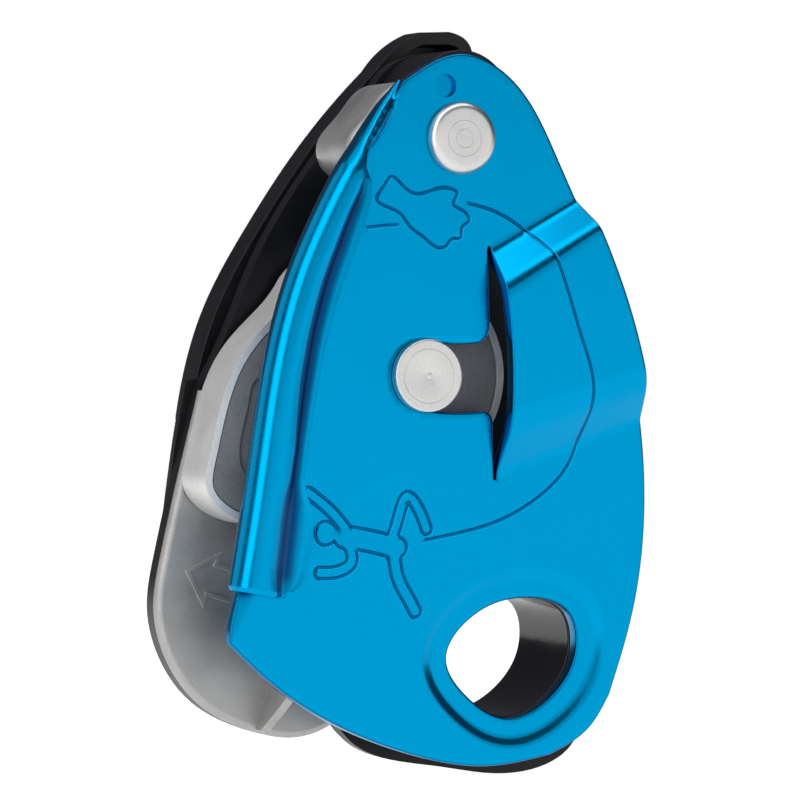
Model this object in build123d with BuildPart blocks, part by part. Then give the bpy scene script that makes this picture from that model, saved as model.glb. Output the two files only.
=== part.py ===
from build123d import *
import os
from math import atan2, cos, degrees, radians, sin

os.makedirs("parts", exist_ok=True)

# Assisted-braking belay device for a single rope, held by a carabiner through its attachment hole.
# Millimetres. X is to the right, Y goes from the moving side plate to the handle, Z is up.
# The origin is the middle of the attachment hole, half-way through the rope gap.

# ---- driving dimensions ----------------------------------------------------------------------

SHEET = 2.2                 # moving side plate, sheet thickness
ROPE_GAP = 12.4             # between the two side plates, for ropes of 8.9 to 11 mm
FIXED_THICK = 2.5           # fixed side plate
COVER_THICK = 2.0           # moulded rear cover
HANDLE_DEPTH = 7.4          # handle shell, front rim to back
HANDLE_WALL = 1.8
HANDLE_GAP = 0.3            # between the rear cover and the handle rim
SOFT_GAP = 0.3              # between faces of bodies that pass each other
RUNNING_FIT = 0.05          # radial clearance of a shaft in its bearing
SEAT_GAP = 0.05             # between pieces that are seated in one another
INSERT_GAP = 0.15           # round the insert, between it and the cam's rim

RIVET_X, RIVET_Z = -8.2, 71.0       # pivot of the moving side plate
AXLE_X, AXLE_Z = -13.5, 38.8        # axle shared by the cam and the handle
RIVET_SHANK = 3.4
AXLE_SHANK = 4.0
NECK_SHOULDER = 0.35
AXLE_NECK = AXLE_SHANK + NECK_SHOULDER      # passes through the slot in the moving plate
SLOT_CLEARANCE = 0.3                        # neck in the slot of the moving plate
HEAD_LAP = 0.6                              # head over the neck, wider than the slot
HEAD_RADIUS = AXLE_NECK + HEAD_LAP          # both visible heads
HEAD_THICK = 1.5

BUMP_RISE = 4.2             # raised channel that lets the axle head out
HEM_RADIUS = 3.05           # rolled left margin of the moving plate
HEM_BORE = 0.6              # hollow left inside the roll
HEM_LAP = 0.05              # the roll stands this far behind the sheet
DISH_DEPTH = 0.5            # pressed ring round the attachment hole
DISH_WIDTH = 3.6
DISH_BEND = 0.8             # the ring is this much wider behind than in front
BUSHING_WALL = 2.0

WEAR_THICK = 1.2            # stainless wear plate
WALL_THICK = 1.4            # its upstanding rope wall
WALL_GAP = 2.4              # left between that wall and the moving plate
WALL_REACH = ROPE_GAP - WEAR_THICK - WALL_GAP

CAM_GAP = 2.2               # left between the cam and the moving plate
CAM_THICK = ROPE_GAP - WEAR_THICK - SOFT_GAP - CAM_GAP
CAM_HUB = 13.9              # rope groove radius about the axle
CAM_FLANGE = 16.0
FLANGE_THICK = 1.2
CAM_BUSH_WALL = 0.95
CAM_BORE = AXLE_SHANK + RUNNING_FIT + CAM_BUSH_WALL
CAM_SWING = 18.0            # degrees from open to locked
INSERT_RIM = 1.0            # steel left showing round the face insert
INSERT_THICK = 1.2

PEG_RADIUS = 1.5            # release peg on the cam
PEG_ORBIT = 10.0            # its distance from the axle
PEG_ANGLE = 253.0           # its place at rest, counter-clockwise from +X
STOP_RADIUS = 1.25          # pin that holds the springs' fixed legs
STOP_ORBIT = 9.8
STOP_ANGLE = 330.0

ARM_THICK = 2.0             # steel arm inside the handle
ARM_WIDTH = 7.0
ARM_HUB = 8.0
ARM_LENGTH = 28.0
ARM_ANGLE = 103.0
BUSH_WALL = 1.0
BUSH_RADIUS = AXLE_SHANK + RUNNING_FIT + BUSH_WALL

SPRING_WIRE = 0.9
POCKET_WALL = 0.85          # steel left between the cam's bore and the spring pocket
SPRING_COIL = CAM_BORE + POCKET_WALL + SOFT_GAP + SPRING_WIRE / 2     # mean radius of both springs

HEAD_ROUND = 0.6
HEAD_CHAMFER = 0.35
REAR_HEAD_THICK = 1.3
WEAR_ROUND = 1.0            # rolled-back rim of the wear plate
WALL_LOW = 1.5              # height at which the rope wall starts at the lobe's edge
ARROW_LINE = 0.55           # raised outline of the direction arrow
ARROW_RISE = 0.22
ANVIL_GAP = 1.0             # left between the anvil and the moving plate
ANVIL_WIDTH = ROPE_GAP - ANVIL_GAP
ANVIL_ROUND = 1.2
COVER_ROUND = 0.8
SCREW_HEAD = 2.1
SCREW_HEAD_THICK = 0.9
GROOVE_CUT = 0.7            # depth of the retaining ring's groove in the axle
GROOVE_RADIUS = AXLE_SHANK - GROOVE_CUT
RING_RIM = 1.5              # ring outside the shank
RING_OPENING = 4.4
RING_THICK = 0.8
AXLE_TAIL = 0.9             # axle left behind the ring
AXLE_WASHER_THICK = 0.6
AXLE_WASHER_RIM = 2.6       # washer outside the shank
WASHER_GAP = 0.1
PIVOT_WASHER_THICK = 0.4
PIVOT_WASHER_RIM = 0.6      # washer outside the rivet's head
REAR_HEAD_STEP = 0.5        # the rear head is this much smaller than the front one
PIN_SHY = 0.5               # pins and posts stop this far short of the face ahead of them
SCREW_GAP = 0.1
SCREW_SOCKET = 0.5          # socket across its corners, as a share of the head
SOCKET_DEPTH = 0.7          # as a share of the head's thickness
PEG_CHAMFER = 0.3
BOSS_RADIUS = 2.2           # bosses in the handle that stand on the arm
SPRING_PITCH = 1.0
SPRING_TURNS = 1.75
SPRING_LEG = 4.4            # straight legs of the handle's spring
LEG_INSIDE = 0.2            # leg buried in the coil's end
LEG_GAP = 0.1               # round a leg in its hole
LEG_HOLE = 2.0              # depth of the leg's hole in the cam
CAM_LEG = 1.6               # length of the leg that sits in it
FIXED_LEG_SHY = 0.3
LEG_LAP = 4.0               # degrees of coil past each leg
POCKET_DEPTH = 3.2          # spring pocket in the back of the cam
PEG_SEAT = 3.0              # length of the peg inside the cam
INSERT_SUNK = 0.15          # insert face below the cam's rim
PANEL_DEPTH = 0.4
HANDLE_ROUND = 2.6
SLIT_WIDTH = 0.5
SLOT_SWEEP = 18.0           # degrees about the rivet from the axle's seat to the raised channel
CHANNEL_FLANGE = 3.0
WINDOW_MARGIN = 1.5         # flat sheet that the raised channel replaces past its bends
CUT_REACH = 20.0            # longer than anything it trims
WALL_TRIM = 5.0
DIMPLE = (-10.4, 78.1)
DIMPLE_RADIUS = 1.6
DIMPLE_DEPTH = 0.8

# ---- layers along Y ---------------------------------------------------------------------------

MOVING_BACK = -ROPE_GAP / 2
MOVING_FRONT = MOVING_BACK - SHEET
FIXED_FRONT = ROPE_GAP / 2
FIXED_BACK = FIXED_FRONT + FIXED_THICK
COVER_BACK = FIXED_BACK + COVER_THICK
HANDLE_FRONT = COVER_BACK + HANDLE_GAP
HANDLE_BACK = HANDLE_FRONT + HANDLE_DEPTH
WEAR_FRONT = FIXED_FRONT - WEAR_THICK
CAM_BACK = WEAR_FRONT - SOFT_GAP
CAM_FRONT = CAM_BACK - CAM_THICK
HEAD_BACK = MOVING_FRONT - SEAT_GAP
HEAD_FRONT = HEAD_BACK - HEAD_THICK
BUMP_FRONT = MOVING_FRONT - BUMP_RISE
SPACER_FRONT = MOVING_BACK + PIVOT_WASHER_THICK + 2 * SEAT_GAP
ARM_FRONT = HANDLE_FRONT + SOFT_GAP
ARM_BACK = ARM_FRONT + ARM_THICK
WASHER_FRONT = HANDLE_BACK + WASHER_GAP
RING_FRONT = WASHER_FRONT + AXLE_WASHER_THICK + SEAT_GAP
AXLE_END = RING_FRONT + RING_THICK + AXLE_TAIL
BUSHING_FRONT = MOVING_BACK + DISH_DEPTH + PIN_SHY
NECK_BACK = CAM_FRONT - SOFT_GAP
STOP_BACK = HANDLE_BACK - HANDLE_WALL - PIN_SHY
CAM_SPRING_FRONT = CAM_BACK - POCKET_DEPTH + SPRING_WIRE
HANDLE_SPRING_FRONT = ARM_BACK + SPRING_WIRE / 2 + SOFT_GAP
CAM_LEG_ANGLE = 120.0
FIXED_LEG_ANGLE = CAM_LEG_ANGLE + 2 * LEG_LAP - 360.0 * SPRING_TURNS
STOP_LEG_ANGLE = STOP_ANGLE + degrees(atan2(STOP_RADIUS + SPRING_WIRE / 2 + LEG_GAP, STOP_ORBIT))
ARM_LEG_ANGLE = STOP_LEG_ANGLE + 2 * LEG_LAP - 360.0 * SPRING_TURNS


def layer(y):
    """The plane at depth y, seen from the front: local x is X and local y is Z."""
    return Plane.XZ.offset(-y)


def polar(radius, angle, x=AXLE_X, z=AXLE_Z):
    """A point at a radius and angle about the axle, or about another centre."""
    return (x + radius * cos(radians(angle)), z + radius * sin(radians(angle)))


def moved_edge(outline, amount):
    """An outline grown or shrunk by a distance, redrawn with splines."""
    return offset(outline.sketch, amount=amount, mode=Mode.PRIVATE).to_splines()


# ---- outlines ---------------------------------------------------------------------------------

# Attachment hole, a triangle rounded almost to an oval.
HOLE_POINTS = [(-9.9, 0.2), (-5.6, 6.1), (2.5, 8.2), (8.6, 6.0), (9.6, 0.7),
               (5.8, -5.5), (-0.4, -8.2), (-6.8, -5.0)]

# Raised channel of the moving side plate: X, then Z of its lower and upper bends, at the slit and
# at the mouth where the axle leaves the plate.
CHANNEL_SLIT = (-3.4, 24.7, 30.1, 49.1, 56.6)
CHANNEL_MOUTH = (22.0, 33.0, 37.3, 65.0, 70.0)

# Upstanding rope wall of the wear plate, from the lobe's edge up towards the attachment hole.
WALL_LINE = [(-32.2, -9.9), (-30.2, -3.5), (-28.0, 3.0), (-22.9, 9.6), (-15.4, 12.8)]

# Arrow pressed in outline into the wear plate, towards the climber.
ARROW = [(-43.1, 12.4), (-37.8, 14.8), (-38.3, 13.2), (-32.4, 11.4), (-33.6, 6.8), (-39.8, 8.8), (-40.5, 7.2)]

# Left margin of the moving side plate, along the middle of its rolled hem, from the bottom up.
HEM_LINE = [(-39.6, 8.8), (-36.9, 24.6), (-34.3, 40.4), (-31.0, 51.9), (-25.3, 63.5), (-22.0, 69.4)]

# A point on the margin above the roll, where the sheet lies flat again.
MARGIN_END = (-19.9, 73.2)

# Free edge of the hem's flap, from the bottom up.
FLAP_EDGE = [(-31.6, 9.3), (-28.7, 13.4), (-31.0, 24.0), (-28.2, 35.6), (-23.5, 54.4), (-21.6, 62.0),
             (-22.4, 67.2)]

with BuildSketch() as hole_outline:
    with BuildLine():
        Spline(*HOLE_POINTS, periodic=True)
    make_face()

with BuildSketch() as moving_outline:
    with BuildLine():
        top = ThreePointArc((-16.4, 78.7), (-7.6, 82.5), (-1.2, 79.9))
        right = Spline(top @ 1, (6.7, 68.3), (12.6, 56.0), (17.1, 43.6), (19.5, 31.1), (20.0, 18.6),
                       (18.3, 6.2), (14.6, -5.4))
        corner = Spline(right @ 1, (11.4, -10.0), (5.4, -13.4))
        bottom = Spline(corner @ 1, (-3.7, -14.6), (-15.7, -12.5), (-27.5, -7.7), (-36.2, -2.0), (-41.9, 3.2))
        lip = Spline(bottom @ 1, (-43.2, 5.4), (-42.7, 8.8))
        step = Line(lip @ 1, HEM_LINE[0])
        margin = Spline(*HEM_LINE)
        Spline(margin @ 1, MARGIN_END, top @ 0)
    make_face()

# Both side plates share the lobe, which carries the rope's climber side.
LOBE = [(-40.8, 36.8), (-43.3, 27.0), (-46.4, 13.9), (-47.3, 7.5), (-46.1, 1.6), (-41.1, -5.7),
        (-33.4, -9.8), (-28.2, -11.0), (-21.1, -9.3)]

with BuildSketch() as fixed_outline:
    with BuildLine():
        top = ThreePointArc((-14.4, 79.0), (-7.2, 83.2), (-0.4, 80.0))
        right = Spline(top @ 1, (6.7, 68.3), (12.6, 56.0), (17.1, 43.6), (19.5, 31.1), (20.0, 18.6),
                       (19.0, 4.0), (17.6, -6.0))
        bottom = Spline(right @ 1, (14.4, -15.0), (5.1, -17.3), (-4.9, -15.9), (-18.9, -11.2), (-20.2, -9.3))
        notch = Line(bottom @ 1, LOBE[-1])
        lobe = Spline(*reversed(LOBE))
        Spline(lobe @ 1, (-36.5, 44.8), (-32.8, 53.4), (-24.8, 66.5), top @ 0)
    make_face()

with BuildSketch() as wear_outline:
    with BuildLine():
        lobe = Spline(*LOBE)
        inner = Spline(lobe @ 1, (-17.6, -2.0), (-14.2, 8.0), (-14.0, 16.5))
        Polyline(inner @ 1, (-24.0, 21.0), (-34.0, 35.0), lobe @ 0)
    make_face()

with BuildSketch() as cover_outline:
    with BuildLine():
        left = Spline((-41.5, 38.0), (-42.8, 31.2), (-44.4, 20.3), (-45.5, 9.0), (-44.6, 1.0), (-38.0, -6.6),
                      (-29.0, -9.6), (-21.6, -8.6))
        step = Line(left @ 1, (-19.9, -9.5))
        bottom = Spline(step @ 1, (-18.4, -11.3), (-4.9, -15.6), (5.1, -16.9), (14.0, -14.6), (17.0, -6.0),
                        (18.6, 6.0), (19.4, 15.0))
        Polyline(bottom @ 1, (-2.0, 18.0), (-20.0, 21.0), (-31.0, 28.0), (-38.2, 38.6), left @ 0)
    make_face()

with BuildSketch() as cam_outline:
    with BuildLine():
        crest = Spline((-9.6, 52.1), (-20.0, 56.4), (-25.6, 55.2), (-29.6, 51.9))
        nose = Spline(crest @ 1, (-32.3, 48.3), (-36.1, 44.6), (-39.1, 40.6), (-41.5, 34.6), (-43.1, 28.0),
                      (-43.5, 23.7), (-40.7, 20.4), (-34.0, 18.9))
        belly = Spline(nose @ 1, (-27.0, 21.0), (-18.0, 25.6))
        Line(belly @ 1, crest @ 0)
    make_face()
    with Locations((AXLE_X, AXLE_Z)):
        Circle(CAM_HUB)

with BuildSketch() as handle_outline:
    with BuildLine():
        left = Spline((-40.2, 32.6), (-39.5, 36.7), (-36.2, 47.7), (-30.0, 58.8), (-22.3, 69.9), (-12.1, 81.3))
        crown = Spline(left @ 1, (-9.4, 84.3), (-5.6, 86.6))
        tip = Line(crown @ 1, (-1.0, 86.8))
        end = Spline(tip @ 1, (2.0, 85.4), (2.4, 81.0))
        right = Spline(end @ 1, (1.2, 68.0), (-1.0, 55.0), (0.8, 40.0), (-4.0, 28.0), (-14.0, 24.4),
                       (-26.0, 25.4), (-37.6, 29.4), left @ 0)
    make_face()

bushing_outer = moved_edge(hole_outline, BUSHING_WALL)
bushing_seat = moved_edge(hole_outline, BUSHING_WALL + SEAT_GAP)
dish_front = moved_edge(hole_outline, DISH_WIDTH)
dish_back = moved_edge(hole_outline, DISH_WIDTH + DISH_BEND)
insert_recess = moved_edge(cam_outline, -INSERT_RIM)
insert_face = moved_edge(cam_outline, -INSERT_RIM - INSERT_GAP)
handle_hollow = moved_edge(handle_outline, -HANDLE_WALL)

# ---- fixed body ---------------------------------------------------------------------------------

WEAR_RIVETS = [(-33.5, 28.5), (-19.0, 14.6), (-22.4, -3.4)]
COVER_SCREWS = [(-38.0, 14.0), (-28.0, -2.4), (13.2, 13.0)]
FASTENER_RADIUS = 1.1
ANVIL_PINS = [(-16.5, 73.5), (-16.5, 66.0)]

peg_path = CenterArc((AXLE_X, AXLE_Z), PEG_ORBIT, PEG_ANGLE - CAM_SWING - 1.0, CAM_SWING + 2.0)

with BuildPart() as fixed_side_plate:
    with BuildSketch(layer(FIXED_BACK)):
        add(fixed_outline.sketch)
        add(bushing_seat, mode=Mode.SUBTRACT)
        with Locations((RIVET_X, RIVET_Z)):
            Circle(RIVET_SHANK, mode=Mode.SUBTRACT)
        with Locations((AXLE_X, AXLE_Z)):
            Circle(AXLE_SHANK, mode=Mode.SUBTRACT)
        with Locations(*WEAR_RIVETS, *COVER_SCREWS, *ANVIL_PINS):
            Circle(FASTENER_RADIUS, mode=Mode.SUBTRACT)
        with Locations(polar(STOP_ORBIT, STOP_ANGLE)):
            Circle(STOP_RADIUS, mode=Mode.SUBTRACT)
        with Locations(polar(SPRING_COIL, FIXED_LEG_ANGLE)):
            Circle(SPRING_WIRE / 2 + LEG_GAP, mode=Mode.SUBTRACT)
        SlotArc(peg_path, 2 * (PEG_RADIUS + SOFT_GAP), mode=Mode.SUBTRACT)
    extrude(amount=FIXED_THICK)
fixed_side_plate.part.label = "fixed_side_plate"
export_step(fixed_side_plate.part, "parts/fixed_side_plate.step")

with BuildPart() as wear_plate:
    with BuildSketch(layer(FIXED_FRONT)):
        add(wear_outline.sketch)
        with Locations(*WEAR_RIVETS):
            Circle(FASTENER_RADIUS, mode=Mode.SUBTRACT)
    extrude(amount=WEAR_THICK)
    front_face = wear_plate.faces().sort_by(Axis.Y)[0]
    fillet(front_face.edges().sort_by(SortBy.LENGTH)[-1], WEAR_ROUND)
    with BuildSketch(layer(WEAR_FRONT)):
        with BuildLine():
            Spline(*WALL_LINE)
        trace(line_width=WALL_THICK)
    extrude(amount=WALL_REACH)
    with BuildSketch(Plane.YZ.offset(WALL_LINE[0][0] - WALL_TRIM)):
        Polygon((WEAR_FRONT - WALL_LOW, WALL_LINE[0][1] - WALL_TRIM), (WEAR_FRONT - WALL_LOW, WALL_LINE[0][1]),
                (WEAR_FRONT - WALL_REACH, WALL_LINE[1][1]), (WEAR_FRONT - WALL_REACH - WALL_TRIM, WALL_LINE[1][1]),
                (WEAR_FRONT - WALL_REACH - WALL_TRIM, WALL_LINE[0][1] - WALL_TRIM), align=None)
    extrude(amount=2 * WALL_TRIM, mode=Mode.SUBTRACT)
    with BuildSketch(layer(WEAR_FRONT)):
        Polygon(*ARROW, align=None)
        offset(amount=-ARROW_LINE, kind=Kind.INTERSECTION, mode=Mode.SUBTRACT)
    extrude(amount=ARROW_RISE)
wear_plate.part.label = "wear_plate"
export_step(wear_plate.part, "parts/wear_plate.step")

with BuildPart() as wear_plate_rivets:
    with BuildSketch(layer(FIXED_BACK)):
        with Locations(*WEAR_RIVETS):
            Circle(FASTENER_RADIUS)
    extrude(amount=FIXED_THICK + WEAR_THICK)
wear_plate_rivets.part.label = "wear_plate_rivets"
export_step(wear_plate_rivets.part, "parts/wear_plate_rivets.step")

with BuildPart() as brake_anvil:
    with BuildSketch(layer(FIXED_FRONT)):
        with BuildLine():
            face = Spline((-13.5, 78.8), (-17.2, 77.9), (-20.4, 74.2), (-23.3, 70.2), (-22.6, 67.3),
                          (-18.0, 65.0), (-12.6, 62.6))
            Polyline(face @ 1, (-13.5, 66.4), face @ 0)
        make_face()
        with Locations(*ANVIL_PINS):
            Circle(FASTENER_RADIUS, mode=Mode.SUBTRACT)
    extrude(amount=ANVIL_WIDTH)
    front_face = brake_anvil.faces().sort_by(Axis.Y)[0]
    fillet(front_face.outer_wire().edges().sort_by(SortBy.LENGTH)[-1], ANVIL_ROUND)
brake_anvil.part.label = "brake_anvil"
export_step(brake_anvil.part, "parts/brake_anvil.step")

with BuildPart() as anvil_pins:
    with BuildSketch(layer(FIXED_BACK)):
        with Locations(*ANVIL_PINS):
            Circle(FASTENER_RADIUS)
    extrude(amount=FIXED_THICK + ANVIL_WIDTH - PIN_SHY)
anvil_pins.part.label = "anvil_pins"
export_step(anvil_pins.part, "parts/anvil_pins.step")

with BuildPart() as top_spacer:
    with BuildSketch(layer(FIXED_FRONT)):
        with BuildLine():
            crown = ThreePointArc((-13.3, 79.2), (-7.2, 83.2), (-0.6, 80.2))
            side = Spline(crown @ 1, (3.2, 74.0), (2.4, 68.0), (-3.0, 64.0), (-11.6, 63.6))
            Polyline(side @ 1, (-13.3, 66.6), crown @ 0)
        make_face()
        with Locations((RIVET_X, RIVET_Z)):
            Circle(RIVET_SHANK, mode=Mode.SUBTRACT)
    extrude(amount=FIXED_FRONT - SPACER_FRONT)
top_spacer.part.label = "top_spacer"
export_step(top_spacer.part, "parts/top_spacer.step")

with BuildPart() as pivot_washer:
    with BuildSketch(layer(SPACER_FRONT)):
        with Locations((RIVET_X, RIVET_Z)):
            Circle(HEAD_RADIUS + PIVOT_WASHER_RIM)
            Circle(RIVET_SHANK, mode=Mode.SUBTRACT)
    extrude(amount=PIVOT_WASHER_THICK)
pivot_washer.part.label = "pivot_washer"
export_step(pivot_washer.part, "parts/pivot_washer.step")

with BuildPart() as plate_rivet:
    with BuildSketch(layer(FIXED_BACK)):
        with Locations((RIVET_X, RIVET_Z)):
            Circle(RIVET_SHANK)
    extrude(amount=FIXED_BACK - HEAD_BACK)
    with BuildSketch(layer(HEAD_BACK)):
        with Locations((RIVET_X, RIVET_Z)):
            Circle(HEAD_RADIUS)
    extrude(amount=HEAD_THICK)
    fillet(plate_rivet.faces().sort_by(Axis.Y)[0].edges(), HEAD_ROUND)
    with BuildSketch(layer(FIXED_BACK + REAR_HEAD_THICK)):
        with Locations((RIVET_X, RIVET_Z)):
            Circle(HEAD_RADIUS - REAR_HEAD_STEP)
    extrude(amount=REAR_HEAD_THICK)
    fillet(plate_rivet.faces().sort_by(Axis.Y)[-1].edges(), HEAD_ROUND)
plate_rivet.part.label = "plate_rivet"
export_step(plate_rivet.part, "parts/plate_rivet.step")

with BuildPart() as attachment_bushing:
    with BuildSketch(layer(COVER_BACK)):
        add(bushing_outer)
        add(hole_outline.sketch, mode=Mode.SUBTRACT)
    extrude(amount=COVER_BACK - BUSHING_FRONT)
attachment_bushing.part.label = "attachment_bushing"
export_step(attachment_bushing.part, "parts/attachment_bushing.step")

with BuildPart() as rear_cover:
    with BuildSketch(layer(COVER_BACK)):
        add(cover_outline.sketch)
        add(bushing_seat, mode=Mode.SUBTRACT)
        with Locations(*COVER_SCREWS):
            Circle(FASTENER_RADIUS, mode=Mode.SUBTRACT)
    extrude(amount=COVER_THICK)
    rim = rear_cover.faces().sort_by(Axis.Y)[-1].outer_wire().edges()
    fillet(rim.sort_by(SortBy.LENGTH)[-2:], COVER_ROUND)
    with BuildSketch(layer(COVER_BACK)):
        with Locations(*COVER_SCREWS):
            Circle(SCREW_HEAD + SCREW_GAP)
    extrude(amount=SCREW_HEAD_THICK + SEAT_GAP, mode=Mode.SUBTRACT)
rear_cover.part.label = "rear_cover"
export_step(rear_cover.part, "parts/rear_cover.step")

with BuildPart() as cover_screws:
    with BuildSketch(layer(COVER_BACK)):
        with Locations(*COVER_SCREWS):
            Circle(SCREW_HEAD)
    extrude(amount=SCREW_HEAD_THICK)
    with BuildSketch(layer(COVER_BACK - SCREW_HEAD_THICK)):
        with Locations(*COVER_SCREWS):
            Circle(FASTENER_RADIUS)
    extrude(amount=COVER_BACK - SCREW_HEAD_THICK - FIXED_FRONT)
    with BuildSketch(layer(COVER_BACK)):
        with Locations(*COVER_SCREWS):
            RegularPolygon(SCREW_HEAD * SCREW_SOCKET, 6)
    extrude(amount=SCREW_HEAD_THICK * SOCKET_DEPTH, mode=Mode.SUBTRACT)
cover_screws.part.label = "cover_screws"
export_step(cover_screws.part, "parts/cover_screws.step")

with BuildPart() as cam_axle:
    with BuildSketch(Plane.XY.offset(AXLE_Z)):
        with BuildLine():
            Polyline((AXLE_X, HEAD_FRONT), (AXLE_X + HEAD_RADIUS - HEAD_CHAMFER, HEAD_FRONT),
                     (AXLE_X + HEAD_RADIUS, HEAD_FRONT + HEAD_CHAMFER), (AXLE_X + HEAD_RADIUS, HEAD_BACK),
                     (AXLE_X + AXLE_NECK, HEAD_BACK), (AXLE_X + AXLE_NECK, NECK_BACK),
                     (AXLE_X + AXLE_SHANK, NECK_BACK), (AXLE_X + AXLE_SHANK, RING_FRONT - SEAT_GAP),
                     (AXLE_X + GROOVE_RADIUS, RING_FRONT - SEAT_GAP),
                     (AXLE_X + GROOVE_RADIUS, RING_FRONT + RING_THICK + SEAT_GAP),
                     (AXLE_X + AXLE_SHANK, RING_FRONT + RING_THICK + SEAT_GAP),
                     (AXLE_X + AXLE_SHANK, AXLE_END - HEAD_CHAMFER),
                     (AXLE_X + AXLE_SHANK - HEAD_CHAMFER, AXLE_END), (AXLE_X, AXLE_END), close=True)
        make_face()
    revolve(axis=Axis((AXLE_X, 0, AXLE_Z), (0, 1, 0)))
cam_axle.part.label = "cam_axle"
export_step(cam_axle.part, "parts/cam_axle.step")

with BuildPart() as axle_washer:
    with BuildSketch(layer(WASHER_FRONT + AXLE_WASHER_THICK)):
        with Locations((AXLE_X, AXLE_Z)):
            Circle(AXLE_SHANK + AXLE_WASHER_RIM)
            Circle(AXLE_SHANK + SEAT_GAP, mode=Mode.SUBTRACT)
    extrude(amount=AXLE_WASHER_THICK)
axle_washer.part.label = "axle_washer"
export_step(axle_washer.part, "parts/axle_washer.step")

with BuildPart() as retaining_ring:
    with BuildSketch(layer(RING_FRONT + RING_THICK)):
        with Locations((AXLE_X, AXLE_Z)):
            Circle(AXLE_SHANK + RING_RIM)
            Circle(GROOVE_RADIUS + SEAT_GAP, mode=Mode.SUBTRACT)
        with Locations((AXLE_X, AXLE_Z - AXLE_SHANK)):
            Rectangle(RING_OPENING, 2 * RING_RIM + GROOVE_CUT, mode=Mode.SUBTRACT)
    extrude(amount=RING_THICK)
retaining_ring.part.label = "retaining_ring"
export_step(retaining_ring.part, "parts/retaining_ring.step")

with BuildPart() as spring_stop_pin:
    with BuildSketch(layer(STOP_BACK)):
        with Locations(polar(STOP_ORBIT, STOP_ANGLE)):
            Circle(STOP_RADIUS)
    extrude(amount=STOP_BACK - FIXED_FRONT)
spring_stop_pin.part.label = "spring_stop_pin"
export_step(spring_stop_pin.part, "parts/spring_stop_pin.step")


def spring_coil(front, turns, start_angle):
    """The closed coil of a torsion spring round the axle, its wire starting at an angle."""
    place = Plane(origin=(AXLE_X, front, AXLE_Z), x_dir=(1, 0, 0), z_dir=(0, 1, 0))
    wire_path = place * (Rot(Z=-start_angle) * Helix(SPRING_PITCH, turns * SPRING_PITCH, SPRING_COIL))
    section = Plane(origin=wire_path @ 0, z_dir=wire_path % 0) * Circle(SPRING_WIRE / 2)
    return sweep(section, path=wire_path, is_frenet=True)


def spring_leg(start, end):
    """A straight leg of spring wire between two points."""
    run = Line(start, end)
    return sweep(Plane(origin=run @ 0, z_dir=run % 0) * Circle(SPRING_WIRE / 2), path=run)


def on_coil(radius, angle, y):
    """A point beside the axle at a radius, an angle and a depth."""
    x, z = polar(radius, angle)
    return (x, y, z)


cam_coil = spring_coil(CAM_SPRING_FRONT, SPRING_TURNS, CAM_LEG_ANGLE + LEG_LAP)
cam_coil_end = CAM_SPRING_FRONT + SPRING_TURNS * SPRING_PITCH
cam_inner_leg = spring_leg(on_coil(SPRING_COIL, CAM_LEG_ANGLE, CAM_SPRING_FRONT + LEG_INSIDE),
                           on_coil(SPRING_COIL, CAM_LEG_ANGLE, CAM_SPRING_FRONT - CAM_LEG))
cam_outer_leg = spring_leg(on_coil(SPRING_COIL, FIXED_LEG_ANGLE, cam_coil_end - LEG_INSIDE),
                           on_coil(SPRING_COIL, FIXED_LEG_ANGLE, FIXED_BACK - FIXED_LEG_SHY))
with BuildPart() as cam_return_spring:
    add(cam_coil)
    add(cam_inner_leg)
    add(cam_outer_leg)
cam_return_spring.part.label = "cam_return_spring"
export_step(cam_return_spring.part, "parts/cam_return_spring.step")

# ---- moving plate body -------------------------------------------------------------------------

with BuildPart() as raised_channel:
    for x, low_outer, low_inner, high_inner, high_outer in (CHANNEL_SLIT, CHANNEL_MOUTH):
        front = [(MOVING_FRONT, low_outer - CHANNEL_FLANGE), (MOVING_FRONT, low_outer), (BUMP_FRONT, low_inner),
                 (BUMP_FRONT, high_inner), (MOVING_FRONT, high_outer),
                 (MOVING_FRONT, high_outer + CHANNEL_FLANGE)]
        back = [(y + SHEET, z) for y, z in reversed(front)]
        with BuildSketch(Plane.YZ.offset(x)):
            Polygon(*front, *back, align=None)
    loft(ruled=True)
    with BuildSketch(layer(0.0)):
        add(moving_outline.sketch)
    extrude(amount=CUT_REACH, mode=Mode.INTERSECT)

SLOT_RADIUS = ((AXLE_X - RIVET_X) ** 2 + (AXLE_Z - RIVET_Z) ** 2) ** 0.5
SLOT_START = degrees(atan2(AXLE_Z - RIVET_Z, AXLE_X - RIVET_X))
neck_path = CenterArc((RIVET_X, RIVET_Z), SLOT_RADIUS, SLOT_START, SLOT_SWEEP)
HEM_MID = MOVING_BACK + HEM_LAP - HEM_RADIUS

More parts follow.
